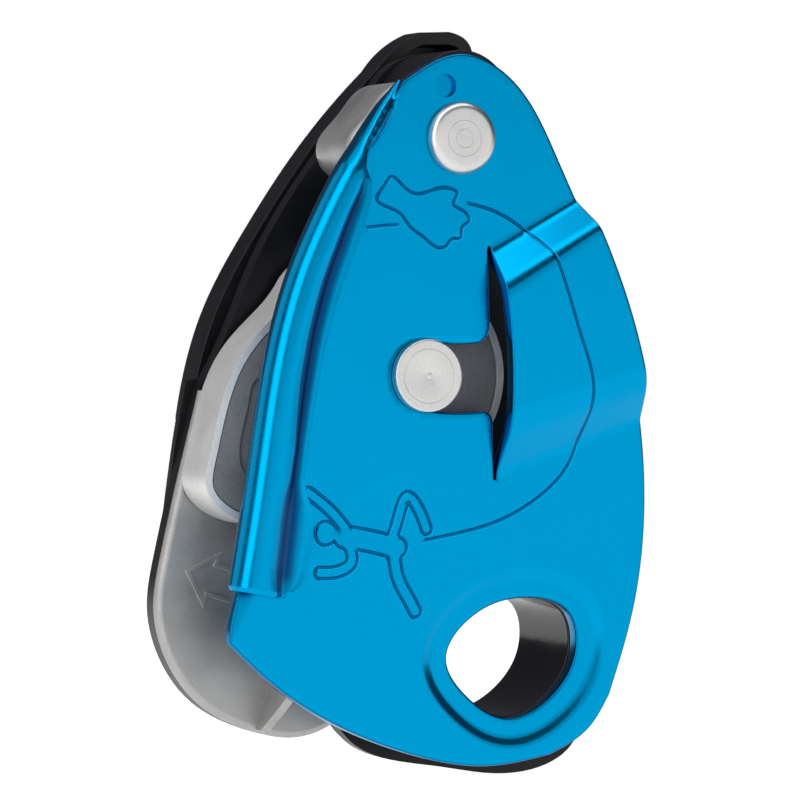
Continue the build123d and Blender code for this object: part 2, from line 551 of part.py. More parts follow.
with BuildPart() as moving_side_plate:
    with BuildSketch(layer(MOVING_BACK)):
        add(moving_outline.sketch)
        add(hole_outline.sketch, mode=Mode.SUBTRACT)
        with Locations((RIVET_X, RIVET_Z)):
            Circle(RIVET_SHANK + RUNNING_FIT, mode=Mode.SUBTRACT)
        SlotArc(neck_path, 2 * (AXLE_NECK + SLOT_CLEARANCE), mode=Mode.SUBTRACT)
        Polygon((CHANNEL_SLIT[0] - SLIT_WIDTH, CHANNEL_SLIT[1] - WINDOW_MARGIN),
                (CHANNEL_MOUTH[0], CHANNEL_MOUTH[1] - WINDOW_MARGIN),
                (CHANNEL_MOUTH[0], CHANNEL_MOUTH[4] + WINDOW_MARGIN),
                (CHANNEL_SLIT[0] - SLIT_WIDTH, CHANNEL_SLIT[4] + WINDOW_MARGIN), align=None, mode=Mode.SUBTRACT)
    extrude(amount=SHEET)
    add(raised_channel.part)
    with BuildSketch(layer(MOVING_FRONT)):
        with BuildLine():
            root = Spline(*HEM_LINE)
            edge = Spline(*FLAP_EDGE)
            Line(root @ 0, edge @ 0)
            Line(root @ 1, edge @ 1)
        make_face()
    extrude(amount=SHEET)
    with BuildLine(layer(HEM_MID)) as hem_path:
        Spline(*HEM_LINE)
    with BuildSketch(Plane(origin=hem_path.line @ 0, z_dir=hem_path.line % 0)):
        Circle(HEM_RADIUS)
    sweep(path=hem_path.line)
    with BuildSketch(Plane(origin=hem_path.line @ 0, z_dir=hem_path.line % 0)):
        Circle(HEM_BORE)
    sweep(path=hem_path.line, mode=Mode.SUBTRACT)
    with BuildSketch(layer(MOVING_BACK + DISH_DEPTH)):
        add(dish_back)
        add(hole_outline.sketch, mode=Mode.SUBTRACT)
    extrude(amount=DISH_DEPTH)
    with BuildSketch(layer(MOVING_FRONT + DISH_DEPTH)):
        add(dish_front)
    extrude(amount=DISH_DEPTH, mode=Mode.SUBTRACT)
    with BuildSketch(layer(MOVING_FRONT + DIMPLE_DEPTH)):
        with Locations(DIMPLE):
            Circle(DIMPLE_RADIUS)
    extrude(amount=DIMPLE_DEPTH, mode=Mode.SUBTRACT)
moving_side_plate.part.label = "moving_side_plate"
export_step(moving_side_plate.part, "parts/moving_side_plate.step")

# ---- cam body ------------------------------------------------------------------------------------

with BuildPart() as cam:
    with BuildSketch(layer(CAM_BACK)):
        add(cam_outline.sketch)
    extrude(amount=CAM_THICK)
    with BuildSketch(layer(CAM_BACK)):
        with Locations((AXLE_X, AXLE_Z)):
            Circle(CAM_FLANGE)
    extrude(amount=FLANGE_THICK)
    with BuildSketch(layer(CAM_FRONT + INSERT_THICK)):
        add(insert_recess)
    extrude(amount=INSERT_THICK, mode=Mode.SUBTRACT)
    with BuildSketch(layer(CAM_BACK)):
        with Locations((AXLE_X, AXLE_Z)):
            Circle(CAM_BORE)
    extrude(amount=CAM_THICK, mode=Mode.SUBTRACT)
    with BuildSketch(layer(CAM_BACK)):
        with Locations((AXLE_X, AXLE_Z)):
            Circle(SPRING_COIL + SPRING_WIRE / 2 + SOFT_GAP)
            Circle(SPRING_COIL - SPRING_WIRE / 2 - SOFT_GAP, mode=Mode.SUBTRACT)
    extrude(amount=POCKET_DEPTH, mode=Mode.SUBTRACT)
    with BuildSketch(layer(CAM_BACK)):
        with Locations(polar(PEG_ORBIT, PEG_ANGLE)):
            Circle(PEG_RADIUS)
    extrude(amount=PEG_SEAT, mode=Mode.SUBTRACT)
    with BuildSketch(layer(CAM_BACK)):
        with Locations(polar(SPRING_COIL, CAM_LEG_ANGLE)):
            Circle(SPRING_WIRE / 2 + LEG_GAP)
    extrude(amount=POCKET_DEPTH + LEG_HOLE, mode=Mode.SUBTRACT)
cam.part.label = "cam"
export_step(cam.part, "parts/cam.step")

with BuildPart() as cam_face_insert:
    with BuildSketch(layer(CAM_FRONT + INSERT_THICK)):
        add(insert_face)
        with Locations((AXLE_X, AXLE_Z)):
            Circle(CAM_BORE, mode=Mode.SUBTRACT)
    extrude(amount=INSERT_THICK - INSERT_SUNK)
    with BuildSketch(layer(CAM_FRONT + INSERT_SUNK + PANEL_DEPTH)):
        with BuildLine():
            inner = Spline((-34.2, 38.6), (-36.4, 38.2), (-37.4, 35.0), (-38.6, 29.6), (-38.2, 26.2), (-36.0, 24.8))
            outer = Spline(inner @ 1, (-31.0, 26.0), (-28.0, 31.0), (-29.0, 36.5), inner @ 0)
        make_face()
    extrude(amount=PANEL_DEPTH, mode=Mode.SUBTRACT)
cam_face_insert.part.label = "cam_face_insert"
export_step(cam_face_insert.part, "parts/cam_face_insert.step")

with BuildPart() as cam_bush:
    with BuildSketch(layer(CAM_BACK)):
        with Locations((AXLE_X, AXLE_Z)):
            Circle(CAM_BORE)
            Circle(AXLE_SHANK + RUNNING_FIT, mode=Mode.SUBTRACT)
    extrude(amount=CAM_THICK)
cam_bush.part.label = "cam_bush"
export_step(cam_bush.part, "parts/cam_bush.step")

with BuildPart() as release_peg:
    with BuildSketch(layer(ARM_BACK)):
        with Locations(polar(PEG_ORBIT, PEG_ANGLE)):
            Circle(PEG_RADIUS)
    extrude(amount=ARM_BACK - CAM_BACK + PEG_SEAT)
    chamfer(release_peg.faces().sort_by(Axis.Y)[-1].edges(), PEG_CHAMFER)
release_peg.part.label = "release_peg"
export_step(release_peg.part, "parts/release_peg.step")

# ---- handle body -----------------------------------------------------------------------------------

HANDLE_RIVETS = [polar(along, ARM_ANGLE) for along in (ARM_HUB + 5.0, ARM_LENGTH - 3.0)]
SHELL_FLOOR = HANDLE_BACK - HANDLE_WALL

with BuildPart() as handle_shell:
    with BuildSketch(layer(HANDLE_BACK)):
        add(handle_outline.sketch)
    extrude(amount=HANDLE_DEPTH)
    fillet(handle_shell.faces().sort_by(Axis.Y)[-1].edges(), HANDLE_ROUND)
    with BuildSketch(layer(SHELL_FLOOR)):
        add(handle_hollow)
    extrude(amount=SHELL_FLOOR - HANDLE_FRONT, mode=Mode.SUBTRACT)
    with BuildSketch(layer(SHELL_FLOOR)):
        with Locations(*HANDLE_RIVETS):
            Circle(BOSS_RADIUS)
    extrude(amount=SHELL_FLOOR - ARM_BACK)
    with BuildSketch(layer(SHELL_FLOOR)):
        with Locations(*HANDLE_RIVETS):
            Circle(FASTENER_RADIUS)
    extrude(amount=SHELL_FLOOR - ARM_BACK, mode=Mode.SUBTRACT)
    with BuildSketch(layer(HANDLE_BACK)):
        with Locations((AXLE_X, AXLE_Z)):
            Circle(BUSH_RADIUS)
    extrude(amount=HANDLE_DEPTH, mode=Mode.SUBTRACT)
handle_shell.part.label = "handle_shell"
export_step(handle_shell.part, "parts/handle_shell.step")

with BuildPart() as handle_arm:
    with BuildSketch(layer(ARM_BACK)):
        with Locations((AXLE_X, AXLE_Z)):
            Circle(ARM_HUB)
        with Locations(polar(ARM_LENGTH / 2, ARM_ANGLE)):
            SlotOverall(ARM_LENGTH, ARM_WIDTH, rotation=ARM_ANGLE)
        with Locations((AXLE_X, AXLE_Z)):
            Circle(BUSH_RADIUS, mode=Mode.SUBTRACT)
        with Locations(*HANDLE_RIVETS):
            Circle(FASTENER_RADIUS, mode=Mode.SUBTRACT)
    extrude(amount=ARM_THICK)
handle_arm.part.label = "handle_arm"
export_step(handle_arm.part, "parts/handle_arm.step")

with BuildPart() as handle_rivets:
    with BuildSketch(layer(SHELL_FLOOR)):
        with Locations(*HANDLE_RIVETS):
            Circle(FASTENER_RADIUS)
    extrude(amount=SHELL_FLOOR - ARM_FRONT)
handle_rivets.part.label = "handle_rivets"
export_step(handle_rivets.part, "parts/handle_rivets.step")

with BuildPart() as handle_bush:
    with BuildSketch(layer(HANDLE_BACK)):
        with Locations((AXLE_X, AXLE_Z)):
            Circle(BUSH_RADIUS)
            Circle(AXLE_SHANK + RUNNING_FIT, mode=Mode.SUBTRACT)
    extrude(amount=HANDLE_BACK - ARM_FRONT)
handle_bush.part.label = "handle_bush"
export_step(handle_bush.part, "parts/handle_bush.step")

handle_coil = spring_coil(HANDLE_SPRING_FRONT, SPRING_TURNS, STOP_LEG_ANGLE + LEG_LAP)
handle_coil_end = HANDLE_SPRING_FRONT + SPRING_TURNS * SPRING_PITCH
stop_leg = spring_leg(on_coil(SPRING_COIL - LEG_INSIDE, STOP_LEG_ANGLE, HANDLE_SPRING_FRONT),
                      on_coil(SPRING_COIL + SPRING_LEG, STOP_LEG_ANGLE, HANDLE_SPRING_FRONT))
arm_leg = spring_leg(on_coil(SPRING_COIL - LEG_INSIDE, ARM_LEG_ANGLE, handle_coil_end),
                     on_coil(SPRING_COIL + SPRING_LEG, ARM_LEG_ANGLE, handle_coil_end))
with BuildPart() as handle_return_spring:
    add(handle_coil)
    add(stop_leg)
    add(arm_leg)
handle_return_spring.part.label = "handle_return_spring"
export_step(handle_return_spring.part, "parts/handle_return_spring.step")
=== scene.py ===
import math

import bmesh
import bpy
import numpy as np
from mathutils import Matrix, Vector
from mathutils.geometry import delaunay_2d_cdt


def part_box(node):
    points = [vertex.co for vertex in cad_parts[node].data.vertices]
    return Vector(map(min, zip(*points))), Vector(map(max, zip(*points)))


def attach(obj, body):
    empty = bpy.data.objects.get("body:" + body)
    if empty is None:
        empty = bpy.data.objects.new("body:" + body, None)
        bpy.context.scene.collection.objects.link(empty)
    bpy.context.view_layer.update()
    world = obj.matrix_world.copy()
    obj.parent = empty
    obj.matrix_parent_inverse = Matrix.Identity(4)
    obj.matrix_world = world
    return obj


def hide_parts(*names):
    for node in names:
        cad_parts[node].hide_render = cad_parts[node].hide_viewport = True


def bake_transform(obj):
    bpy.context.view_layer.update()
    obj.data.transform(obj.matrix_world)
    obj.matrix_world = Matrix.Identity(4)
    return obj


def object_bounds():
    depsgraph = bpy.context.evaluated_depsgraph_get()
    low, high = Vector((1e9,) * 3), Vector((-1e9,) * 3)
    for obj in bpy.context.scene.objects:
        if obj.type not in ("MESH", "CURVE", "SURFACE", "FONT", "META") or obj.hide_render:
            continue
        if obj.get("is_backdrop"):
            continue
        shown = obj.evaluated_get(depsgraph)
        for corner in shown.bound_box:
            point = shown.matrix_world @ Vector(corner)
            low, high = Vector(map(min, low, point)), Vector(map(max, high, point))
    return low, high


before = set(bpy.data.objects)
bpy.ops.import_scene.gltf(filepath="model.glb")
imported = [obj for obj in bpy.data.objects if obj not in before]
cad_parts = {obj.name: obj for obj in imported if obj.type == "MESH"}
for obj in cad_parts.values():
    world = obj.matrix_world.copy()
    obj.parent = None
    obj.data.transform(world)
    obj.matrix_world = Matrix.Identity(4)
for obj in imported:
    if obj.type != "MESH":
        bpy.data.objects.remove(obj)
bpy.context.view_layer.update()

bl_info = {
    "name": "Belay device",
    "version": (1, 0, 0),
    "blender": (4, 5, 0),
    "location": "3D View > Sidebar > Belay device",
    "description": "Builds the visible pieces of a belay device for one rope, round its packed frame",
    "category": "Object",
}

# Shapes are worked out in millimetres and become metres when their mesh is made.
# X is to the right, Y goes from the moving side plate to the handle, Z is up.
MM = 0.001


def middle(node):
    """The middle of a frame node, in millimetres."""
    low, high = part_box(node)
    return (low + high) / 2 / MM


def depth(node, end):
    """The front (0) or back (1) of a frame node along Y, in millimetres."""
    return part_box(node)[end].y / MM


RIVET = middle("pivot_washer")
AXLE = middle("axle_washer")
FIXED_FRONT = depth("fixed_side_plate", 0)
FIXED_BACK = depth("fixed_side_plate", 1)
COVER_BACK = depth("rear_cover", 1)
SHEET = 2.2                         # thickness of the moving side plate
MOVING_BACK = -FIXED_FRONT          # the rope gap is centred on the origin
MOVING_FRONT = MOVING_BACK - SHEET
HEAD_RADIUS = 4.95                  # both round heads
HEAD_FRONT = depth("cam_axle", 0)
HEAD_BACK = MOVING_FRONT - 0.05     # the heads clear the moving side plate
CHANNEL_RISE = MOVING_FRONT - depth("moving_side_plate", 0)
FASTENER_RADIUS = 1.1               # flush rivets and pins
COVER_SCREWS = [(-38.0, 14.0), (-28.0, -2.4), (13.2, 13.0)]
WEAR_RIVETS = [(-33.5, 28.5), (-19.0, 14.6), (-22.4, -3.4)]
ANVIL_PINS = [(-16.5, 73.5), (-16.5, 66.0)]

# ---- outlines of the moving side plate, X and Z ---------------------------------------------------

HOLE_POINTS = [(-9.9, 0.2), (-5.6, 6.1), (2.5, 8.2), (8.6, 6.0), (9.6, 0.7), (5.8, -5.5), (-0.4, -8.2),
               (-6.8, -5.0)]
PLATE_TOP = [(-16.4, 78.7), (-7.6, 82.5), (-1.2, 79.9)]
PLATE_RIGHT = [(-1.2, 79.9), (6.7, 68.3), (12.6, 56.0), (17.1, 43.6), (19.5, 31.1), (20.0, 18.6), (18.3, 6.2),
               (14.6, -5.4)]
PLATE_CORNER = [(14.6, -5.4), (11.4, -10.0), (5.4, -13.4)]
PLATE_BOTTOM = [(5.4, -13.4), (-3.7, -14.6), (-15.7, -12.5), (-27.5, -7.7), (-36.2, -2.0), (-41.9, 3.2)]
PLATE_LIP = [(-41.9, 3.2), (-41.8, 5.2), (-41.1, 8.0), (-40.4, 10.4)]
MARGIN_START = 10.8             # the margin's straight run begins above the lip
HEM_LINE = [(-39.6, 8.8), (-36.9, 24.6), (-34.3, 40.4), (-31.0, 51.9), (-25.3, 63.5), (-22.0, 69.4)]
HEM_FADE = [(-19.9, 73.2), (-16.4, 78.7)]       # where the roll sinks back into the flat sheet

# The roll along the margin. Each row is a height Z, then distances from the middle of the roll: to
# its left side, its crest, where its right side turns down, the valley and the flap's free edge,
# and last how high the flap stands over the sheet.
ROLL_START = 9.9
ROLL = np.array([
    (9.0, 3.08, 0.0, -2.9, -3.9, -4.2, 1.7),
    (10.4, 3.08, 0.0, -2.8, -4.3, -4.9, 1.7),
    (11.3, 3.08, 0.0, -2.5, -4.4, -6.1, 1.7),
    (12.3, 3.08, 0.0, -2.2, -4.5, -6.85, 1.7),
    (13.7, 3.08, 0.0, -1.9, -4.5, -7.25, 1.7),
    (17.2, 3.08, 0.0, -1.75, -4.35, -7.4, 1.7),
    (20.0, 3.08, 0.0, -1.6, -4.25, -7.3, 1.7),
    (21.1, 3.08, 0.0, -1.6, -4.2, -7.1, 1.7),
    (22.5, 3.08, 0.0, -1.65, -4.1, -6.45, 1.7),
    (23.8, 3.08, 0.0, -1.8, -3.95, -5.6, 1.7),
    (25.5, 3.08, 0.0, -2.1, -3.75, -5.0, 1.7),
    (29.8, 3.06, 0.0, -2.2, -3.6, -4.95, 1.7),
    (38.7, 3.06, 0.0, -1.6, -3.6, -5.0, 1.7),
    (48.0, 3.05, 0.0, -1.3, -3.2, -4.9, 1.7),
    (57.0, 3.05, 0.0, -1.0, -2.6, -4.65, 1.65),
    (61.0, 3.1, 0.0, -0.7, -2.1, -4.1, 1.55),
    (64.0, 3.12, 0.1, -0.6, -1.8, -3.5, 1.4),
    (66.0, 3.0, 0.3, -0.3, -1.25, -2.5, 1.1),
    (67.2, 2.8, 0.5, 0.1, -0.5, -0.95, 0.6),
    (68.3, 2.55, 0.8, 0.4, -0.15, -0.35, 0.25),
    (69.4, 2.35, 0.95, 0.45, -0.25, -0.4, 0.12),
    (70.5, 2.2, 1.0, 0.15, -0.65, -0.8, 0.1),
    (72.5, 1.85, 0.85, -0.1, -0.95, -1.1, 0.1),
    (74.7, 1.45, 0.65, -0.15, -0.9, -1.05, 0.1),
    (75.8, 1.15, 0.5, 0.05, -0.55, -0.7, 0.08),
    (76.8, 0.78, 0.35, 0.1, -0.25, -0.35, 0.05),
    (78.7, 0.3, 0.12, 0.04, -0.1, -0.15, 0.02)])
ROLL_RADIUS = 3.05
ROLL_WALL = 1.6                     # thickness of the folded sheet, where the roll is wide enough
ROLL_SINK = 0.05                    # the roll's back lies this far behind the sheet's
FLOOR_DROP = 0.08                   # the valley is deeper than the flap by this share of its height
FLAP_RISE = 0.9                     # width of the slope from the valley up to the flap
# From the crest to where the right side turns down, then on to the valley: shares of the way across
# and of the way down.
SHOULDER = ((0.3, 0.015), (0.6, 0.06), (0.85, 0.13), (1.0, 0.2))
DESCENT = ((0.2, 0.36), (0.45, 0.62), (0.7, 0.85), (0.88, 0.97), (1.0, 1.0))
# Painted shade in the fold beside the roll: how dark it is, by the number of the section's point, and how much
# of that shows at each height.
VALLEY_PAINTED_SHADE = ([20, 22, 24, 27, 28, 30], [0.0, 0.35, 0.9, 1.0, 0.8, 0.0])
VALLEY_SHADE_FADE = ([10.5, 13.0, 63.0, 67.5], [0.3, 1.0, 1.0, 0.0])
EDGE_PAINTED_SHADE = 0.45                     # how dark the painted shade on the sheet's rounded edges is
EDGE_STEPS = 4
GROOVE_MIDDLE_INK = 0.55            # an engraved line is darkest at its walls

# Raised channel: X, then Z of its lower and upper bends, at the slit and at the mouth.
CHANNEL_SLIT = (-3.4, 24.7, 30.1, 49.1, 56.6)
CHANNEL_MOUTH = (22.0, 33.0, 37.3, 65.0, 70.0)
SLIT_TOP, SLIT_BOTTOM = (-3.95, 56.1), (-3.05, 24.8)
SLIT_BULGE = 1.0                    # the raised edge bows this far to the right
LOW_BLEND = 3.8                     # the channel's lower slope runs this far past its bend
NECK_SLOT = 4.65                    # half-width of the slot for the axle's neck
DISH_LAND = 2.5                     # flat ring round the attachment hole, then its slope
DISH_SLOPE = 1.5
BEND_LINE = [(-38.2, 9.6), (-41.6, 3.0)]    # the bare corner under the roll bends back from here
BEND_TOP = 12.0
BEND_REACH = 4.2
BEND_RADIUS = 3.5
DIMPLE = (-10.4, 78.1)
DIMPLE_RADIUS = 1.6
DIMPLE_DEPTH = 0.8

# Engraved lines: a mitten, a rope that runs from it to a plain figure, and the figure's limbs as
# a path and a half-width each.
MITTEN = [(-18.4, 65.7), (-19.6, 64.2), (-20.6, 62.7), (-18.9, 61.6), (-16.9, 60.6), (-15.6, 59.0),
          (-13.6, 57.6), (-12.0, 56.4), (-10.3, 56.3), (-9.4, 57.3), (-8.1, 57.5), (-7.9, 58.9),
          (-6.9, 59.7), (-7.4, 61.0), (-9.2, 62.2), (-8.6, 63.5), (-10.5, 64.3), (-13.2, 63.6),
          (-15.9, 63.9)]
ROPE_END = [(-21.9, 58.8), (-20.2, 59.0), (-17.6, 59.2)]
ROPE = [(-7.0, 62.2), (-3.7, 61.4), (0.2, 59.5), (3.1, 57.0), (5.0, 53.4), (6.6, 48.9), (8.2, 44.0), (9.8, 39.0),
        (10.1, 35.0), (9.7, 31.1), (8.7, 27.5), (6.7, 24.6), (3.1, 21.7), (-2.2, 19.0), (-8.2, 17.4),
        (-13.4, 16.5)]
LIMBS = [([(-25.4, 17.2), (-21.8, 16.6), (-17.6, 15.6)], 1.45),
         ([(-24.9, 18.0), (-27.2, 20.6), (-30.6, 23.2)], 0.75),
         ([(-24.9, 16.6), (-24.3, 13.6), (-26.2, 12.5), (-28.9, 12.4)], 0.75),
         ([(-18.6, 16.2), (-17.4, 19.4), (-15.9, 22.4), (-14.3, 20.6), (-13.2, 18.0)], 0.75),
         ([(-18.0, 15.2), (-17.3, 11.2), (-15.6, 8.2), (-14.9, 6.9)], 0.85)]
HEAD_CENTRE, HEAD_SIZE = (-28.0, 17.7), 1.6

# Torsion springs round the axle: the coil leaves out 4 degrees at each leg.
WIRE_RADIUS = 0.45
COIL_RADIUS = 6.6
COIL_PITCH = 1.0
COIL_TURNS = 1.75 - 8.0 / 360.0
CAM_COIL_IN = 1.6                   # from the end of the cam spring's leg to its coil
HANDLE_LEG = 4.2                    # how far the handle spring's legs stand out

# Area lights: name, azimuth and elevation in degrees, distance, width and height in metres, and
# brightness as a share of white.
LIGHTS = (("left_softbox", -54.0, 16.0, 0.7, 0.42, 1.35, 2.3),
          ("rear_softbox", -114.0, 12.0, 0.8, 0.56, 1.2, 0.8),
          ("front_softbox", 9.0, 2.0, 0.9, 1.3, 0.95, 0.8),
          ("top_softbox", 20.0, 96.0, 0.7, 0.9, 0.5, 0.9),
          ("strip_light", 22.0, 70.0, 0.8, 0.9, 0.24, 2.4))
LIT_POINT = (-0.012, -0.005, 0.035)         # what the lights face, in metres
VIEW_POINT = (-17.18, -8.4, 35.52)          # what the camera looks at, in millimetres
VIEW_AZIMUTH, VIEW_ELEVATION, VIEW_DISTANCE = -24.0, 1.0, 0.6
LENS, SENSOR = 199.8, 36.0                  # focal length and sensor width of the camera
FLOOR_HALF = 4.0                            # half of the floor's side, in metres


def length_property(name, description, value, low, high):
    """A length that the user may change, from values in millimetres."""
    return bpy.props.FloatProperty(
        name=name, description=description, default=value * MM, min=low * MM, max=high * MM, unit="LENGTH")


class BelaySizes(bpy.types.PropertyGroup):
    """Sizes of the finish on the visible pieces."""

    sheet_edge: length_property(
        "Sheet edge", "Radius on the cut edges of the moving side plate", 0.35, 0.05, 0.9)
    soft_edge: length_property(
        "Machined edge", "Width of the broken edges on machined and cast pieces", 0.22, 0.02, 0.6)
    flap: length_property("Flap", "Height of the folded flap over the moving side plate", 1.7, 1.0, 2.2)
    groove_width: length_property("Groove width", "Width of the engraved lines", 0.56, 0.2, 1.0)
    groove_depth: length_property("Groove depth", "Depth of the engraved lines", 0.12, 0.02, 0.4)
    dish: length_property("Dish", "Depth of the pressed ring round the attachment hole", 0.65, 0.1, 1.0)
    turning: length_property(
        "Turning pitch", "Distance between the rings left by the lathe on the heads", 0.35, 0.1, 1.0)


def linear(colour):
    """An sRGB hex colour as linear red, green and blue."""
    parts = [int(colour[i:i + 2], 16) / 255 for i in (1, 3, 5)]
    return [c / 12.92 if c <= 0.04045 else ((c + 0.055) / 1.055) ** 2.4 for c in parts]


def colour_property(name, description, value):
    """A colour that the user may change."""
    return bpy.props.FloatVectorProperty(
        name=name, description=description, default=linear(value), min=0.0, max=1.0, subtype="COLOR", size=3)


class BelayColours(bpy.types.PropertyGroup):
    """Colours of the materials."""

    plate: colour_property("Plate", "Dye of the anodised moving side plate", "#0093C7")
    # this colour is also the painted shade in the fold beside the roll, on the sheet's rounded edges and in the
    # dimple
    engraving: colour_property("Engraving", "Dark oxide in the engraved lines", "#0A4478")
    black: colour_property("Black", "Moulded nylon of the handle, cover and bushing", "#17171A")
    steel: colour_property("Steel", "Stainless and cast steel", "#C9C8C6")
    insert: colour_property("Insert", "Dark face of the cam", "#77777A")
    bronze: colour_property("Bronze", "Bushes of the cam and the handle", "#A9783F")
    floor: colour_property("Floor", "Floor under the object", "#B0B0B0")


# ---- curves and meshes --------------------------------------------------------------------------


def spline(points, step=0.5, closed=False):
    """Points about a step apart on the smooth curve through the given ones."""
    given = np.array(points, float)
    if closed:
        given = np.vstack([given, given, given, given[:1]])
    runs = np.linalg.norm(np.diff(given, axis=0), axis=1)
    at = np.concatenate([[0.0], np.cumsum(runs)])
    count = len(given)
    system = np.eye(count)
    bends = np.zeros_like(given)
    for i in range(1, count - 1):
        system[i, i - 1:i + 2] = runs[i - 1], 2 * (runs[i - 1] + runs[i]), runs[i]
        bends[i] = 6 * ((given[i + 1] - given[i]) / runs[i] - (given[i] - given[i - 1]) / runs[i - 1])
    curve = np.linalg.solve(system, bends)
    start, end = (at[len(points)], at[2 * len(points)]) if closed else (0.0, at[-1])
    s = np.linspace(start, end, max(2, math.ceil((end - start) / step)) + 1)
    k = np.clip(np.searchsorted(at, s, side="right") - 1, 0, count - 2)
    h = runs[k][:, None]
    u = (s - at[k])[:, None]
    w = h - u
    line = (curve[k] * w ** 3 + curve[k + 1] * u ** 3) / (6 * h)
    line += (given[k] / h - curve[k] * h / 6) * w + (given[k + 1] / h - curve[k + 1] * h / 6) * u
    return line[:-1] if closed else line


def arc(centre, radius, start, end, step=0.5):
    """Points on an arc, angles in degrees counter-clockwise from +X."""
    count = max(4, math.ceil(abs(math.radians(end - start)) * radius / step))
    angles = np.radians(np.linspace(start, end, count + 1))
    return np.column_stack([centre[0] + radius * np.cos(angles), centre[1] + radius * np.sin(angles)])


def circle(centre, radius, step=0.5):
    """Points round a circle."""
    return arc(centre, radius, 0.0, 360.0, step)[:-1]


def chain(*lines):
    """Lines joined end to end, without points that fall on one another."""
    points = np.vstack(lines)
    gaps = np.linalg.norm(points - np.roll(points, 1, axis=0), axis=1)
    return points[gaps > 0.02]


def sideways(line, closed=False):
    """Unit vectors to the right of a line at its points."""
    if closed:
        along = np.roll(line, -1, axis=0) - np.roll(line, 1, axis=0)
    else:
        along = np.gradient(line, axis=0)
    along /= np.linalg.norm(along, axis=1)[:, None]
    return np.column_stack([along[:, 1], -along[:, 0]])


def distance(points, line, closed=False):
    """Distance from each point to a line of short straight runs."""
    a = line if closed else line[:-1]
    b = np.roll(line, -1, axis=0) if closed else line[1:]
    run = b - a
    offset = points[:, None, :] - a[None]
    share = np.clip((offset * run).sum(2) / (run ** 2).sum(1), 0.0, 1.0)
    return np.linalg.norm(offset - share[:, :, None] * run, axis=2).min(axis=1)


def inside(points, loops):
    """Whether each point lies in the region that the loops bound together."""
    crossings = np.zeros(len(points), int)
    for loop in loops:
        a, b = loop, np.roll(loop, -1, axis=0)
        for (ax, az), (bx, bz) in zip(a, b):
            if az == bz:
                continue
            spans = (points[:, 1] >= min(az, bz)) & (points[:, 1] < max(az, bz))
            crossings += spans & (points[:, 0] < ax + (points[:, 1] - az) * (bx - ax) / (bz - az))
    return crossings % 2 == 1


def sausage(path, half_width):
    """The closed outline round a limb."""
    line = spline(path, 0.4)
    side = sideways(line) * half_width
    heading = math.degrees(math.atan2(*(line[-1] - line[-2])[::-1]))
    tail = math.degrees(math.atan2(*(line[1] - line[0])[::-1]))
    end_cap = arc(line[-1], half_width, heading - 90, heading + 90, 0.3)[1:-1]
    start_cap = arc(line[0], half_width, tail + 90, tail + 270, 0.3)[1:-1]
    return chain(line + side, end_cap, (line - side)[::-1], start_cap)


def new_piece(name, mesh, body, material, *nodes):
    """An object for a finished mesh, which rides on a body, if one is given, and stands for frame nodes."""
    piece = bpy.data.objects.new(name, mesh)
    bpy.context.scene.collection.objects.link(piece)
    mesh.materials.clear()
    mesh.materials.append(material)
    if body:
        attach(piece, body)
    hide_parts(*nodes)
    return piece


def smooth(mesh, angle=30.0):
    """Smooth shading that keeps the edges sharper than an angle."""
    mesh.shade_smooth()
    mesh.set_sharp_from_angle(angle=math.radians(angle))


def closed_mesh(name, shells):
    """One mesh, in metres, from closed shells of points and faces in millimetres."""
    build = bmesh.new()
    for points, faces in shells:
        made = [build.verts.new(Vector(p) * MM) for p in points]
        for face in faces:
            build.faces.new([made[i] for i in face])
    bmesh.ops.recalc_face_normals(build, faces=build.faces)
    mesh = bpy.data.meshes.new(name)
    build.to_mesh(mesh)
    build.free()
    return mesh


def turned(centre, profile, sides=96):
    """A closed shell turned about an axis along Y, from radius and depth pairs that start and end on it."""
    ring = [(math.cos(2 * math.pi * i / sides), math.sin(2 * math.pi * i / sides)) for i in range(sides)]
    x, z = centre
    points = [(x, profile[0][1], z)]
    points += [(x + r * c, y, z + r * s) for r, y in profile[1:-1] for c, s in ring]
    points.append((x, profile[-1][1], z))
    last = len(points) - 1
    faces = []
    for i in range(sides):
        j = (i + 1) % sides
        faces.append((0, 1 + i, 1 + j))
        faces.append((last, last - sides + j, last - sides + i))
        for row in range(len(profile) - 3):
            low = 1 + row * sides
            faces.append((low + i, low + sides + i, low + sides + j, low + j))
    return points, faces


def rounded(radius, start, end, edge, steps=4):
    """Profile points round a disc's two edges: from its face at start to its face at end."""
    sign = 1 if end > start else -1
    points = []
    for i in range(steps + 1):
        a = math.pi / 2 * i / steps
        points.append((radius - edge + edge * math.sin(a), start + sign * edge * (1 - math.cos(a))))
    return points


def softened(node, name, body, material, edge, angle=32.0):
    """A piece with a frame node's shape, its facets merged and its sharp edges broken."""
    build = bmesh.new()
    build.from_mesh(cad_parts[node].data)
    bmesh.ops.remove_doubles(build, verts=build.verts, dist=0.002 * MM)
    bmesh.ops.dissolve_degenerate(build, edges=build.edges, dist=0.002 * MM)
    bmesh.ops.dissolve_limit(build, angle_limit=math.radians(0.6), verts=build.verts, edges=build.edges)
    mesh = bpy.data.meshes.new(name)
    build.to_mesh(mesh)
    build.free()
    smooth(mesh, angle)
    piece = new_piece(name, mesh, body, material, node)
    bevel = piece.modifiers.new("Broken edges", "BEVEL")
    bevel.width = edge
    bevel.segments = 3
    bevel.limit_method = "ANGLE"
    bevel.angle_limit = math.radians(angle)
    bevel.harden_normals = True
    bevel.miter_outer = "MITER_ARC"
    even = piece.modifiers.new("Even faces", "WEIGHTED_NORMAL")
    even.keep_sharp = True


def soften_all(context, *rows):
    """Softened pieces, from rows of node, name, body, material and share of the edge width, and of the
    angle from which an edge is broken where it isn't the usual one."""
    edge = context.scene.belay_sizes.soft_edge
    for node, name, body, material, share, *angle in rows:
        softened(node, name, body, material, edge * share, *angle)


# ---- materials ----------------------------------------------------------------------------------

WAVE_REPEAT = 0.31416               # a wave texture of scale 1 repeats after this distance


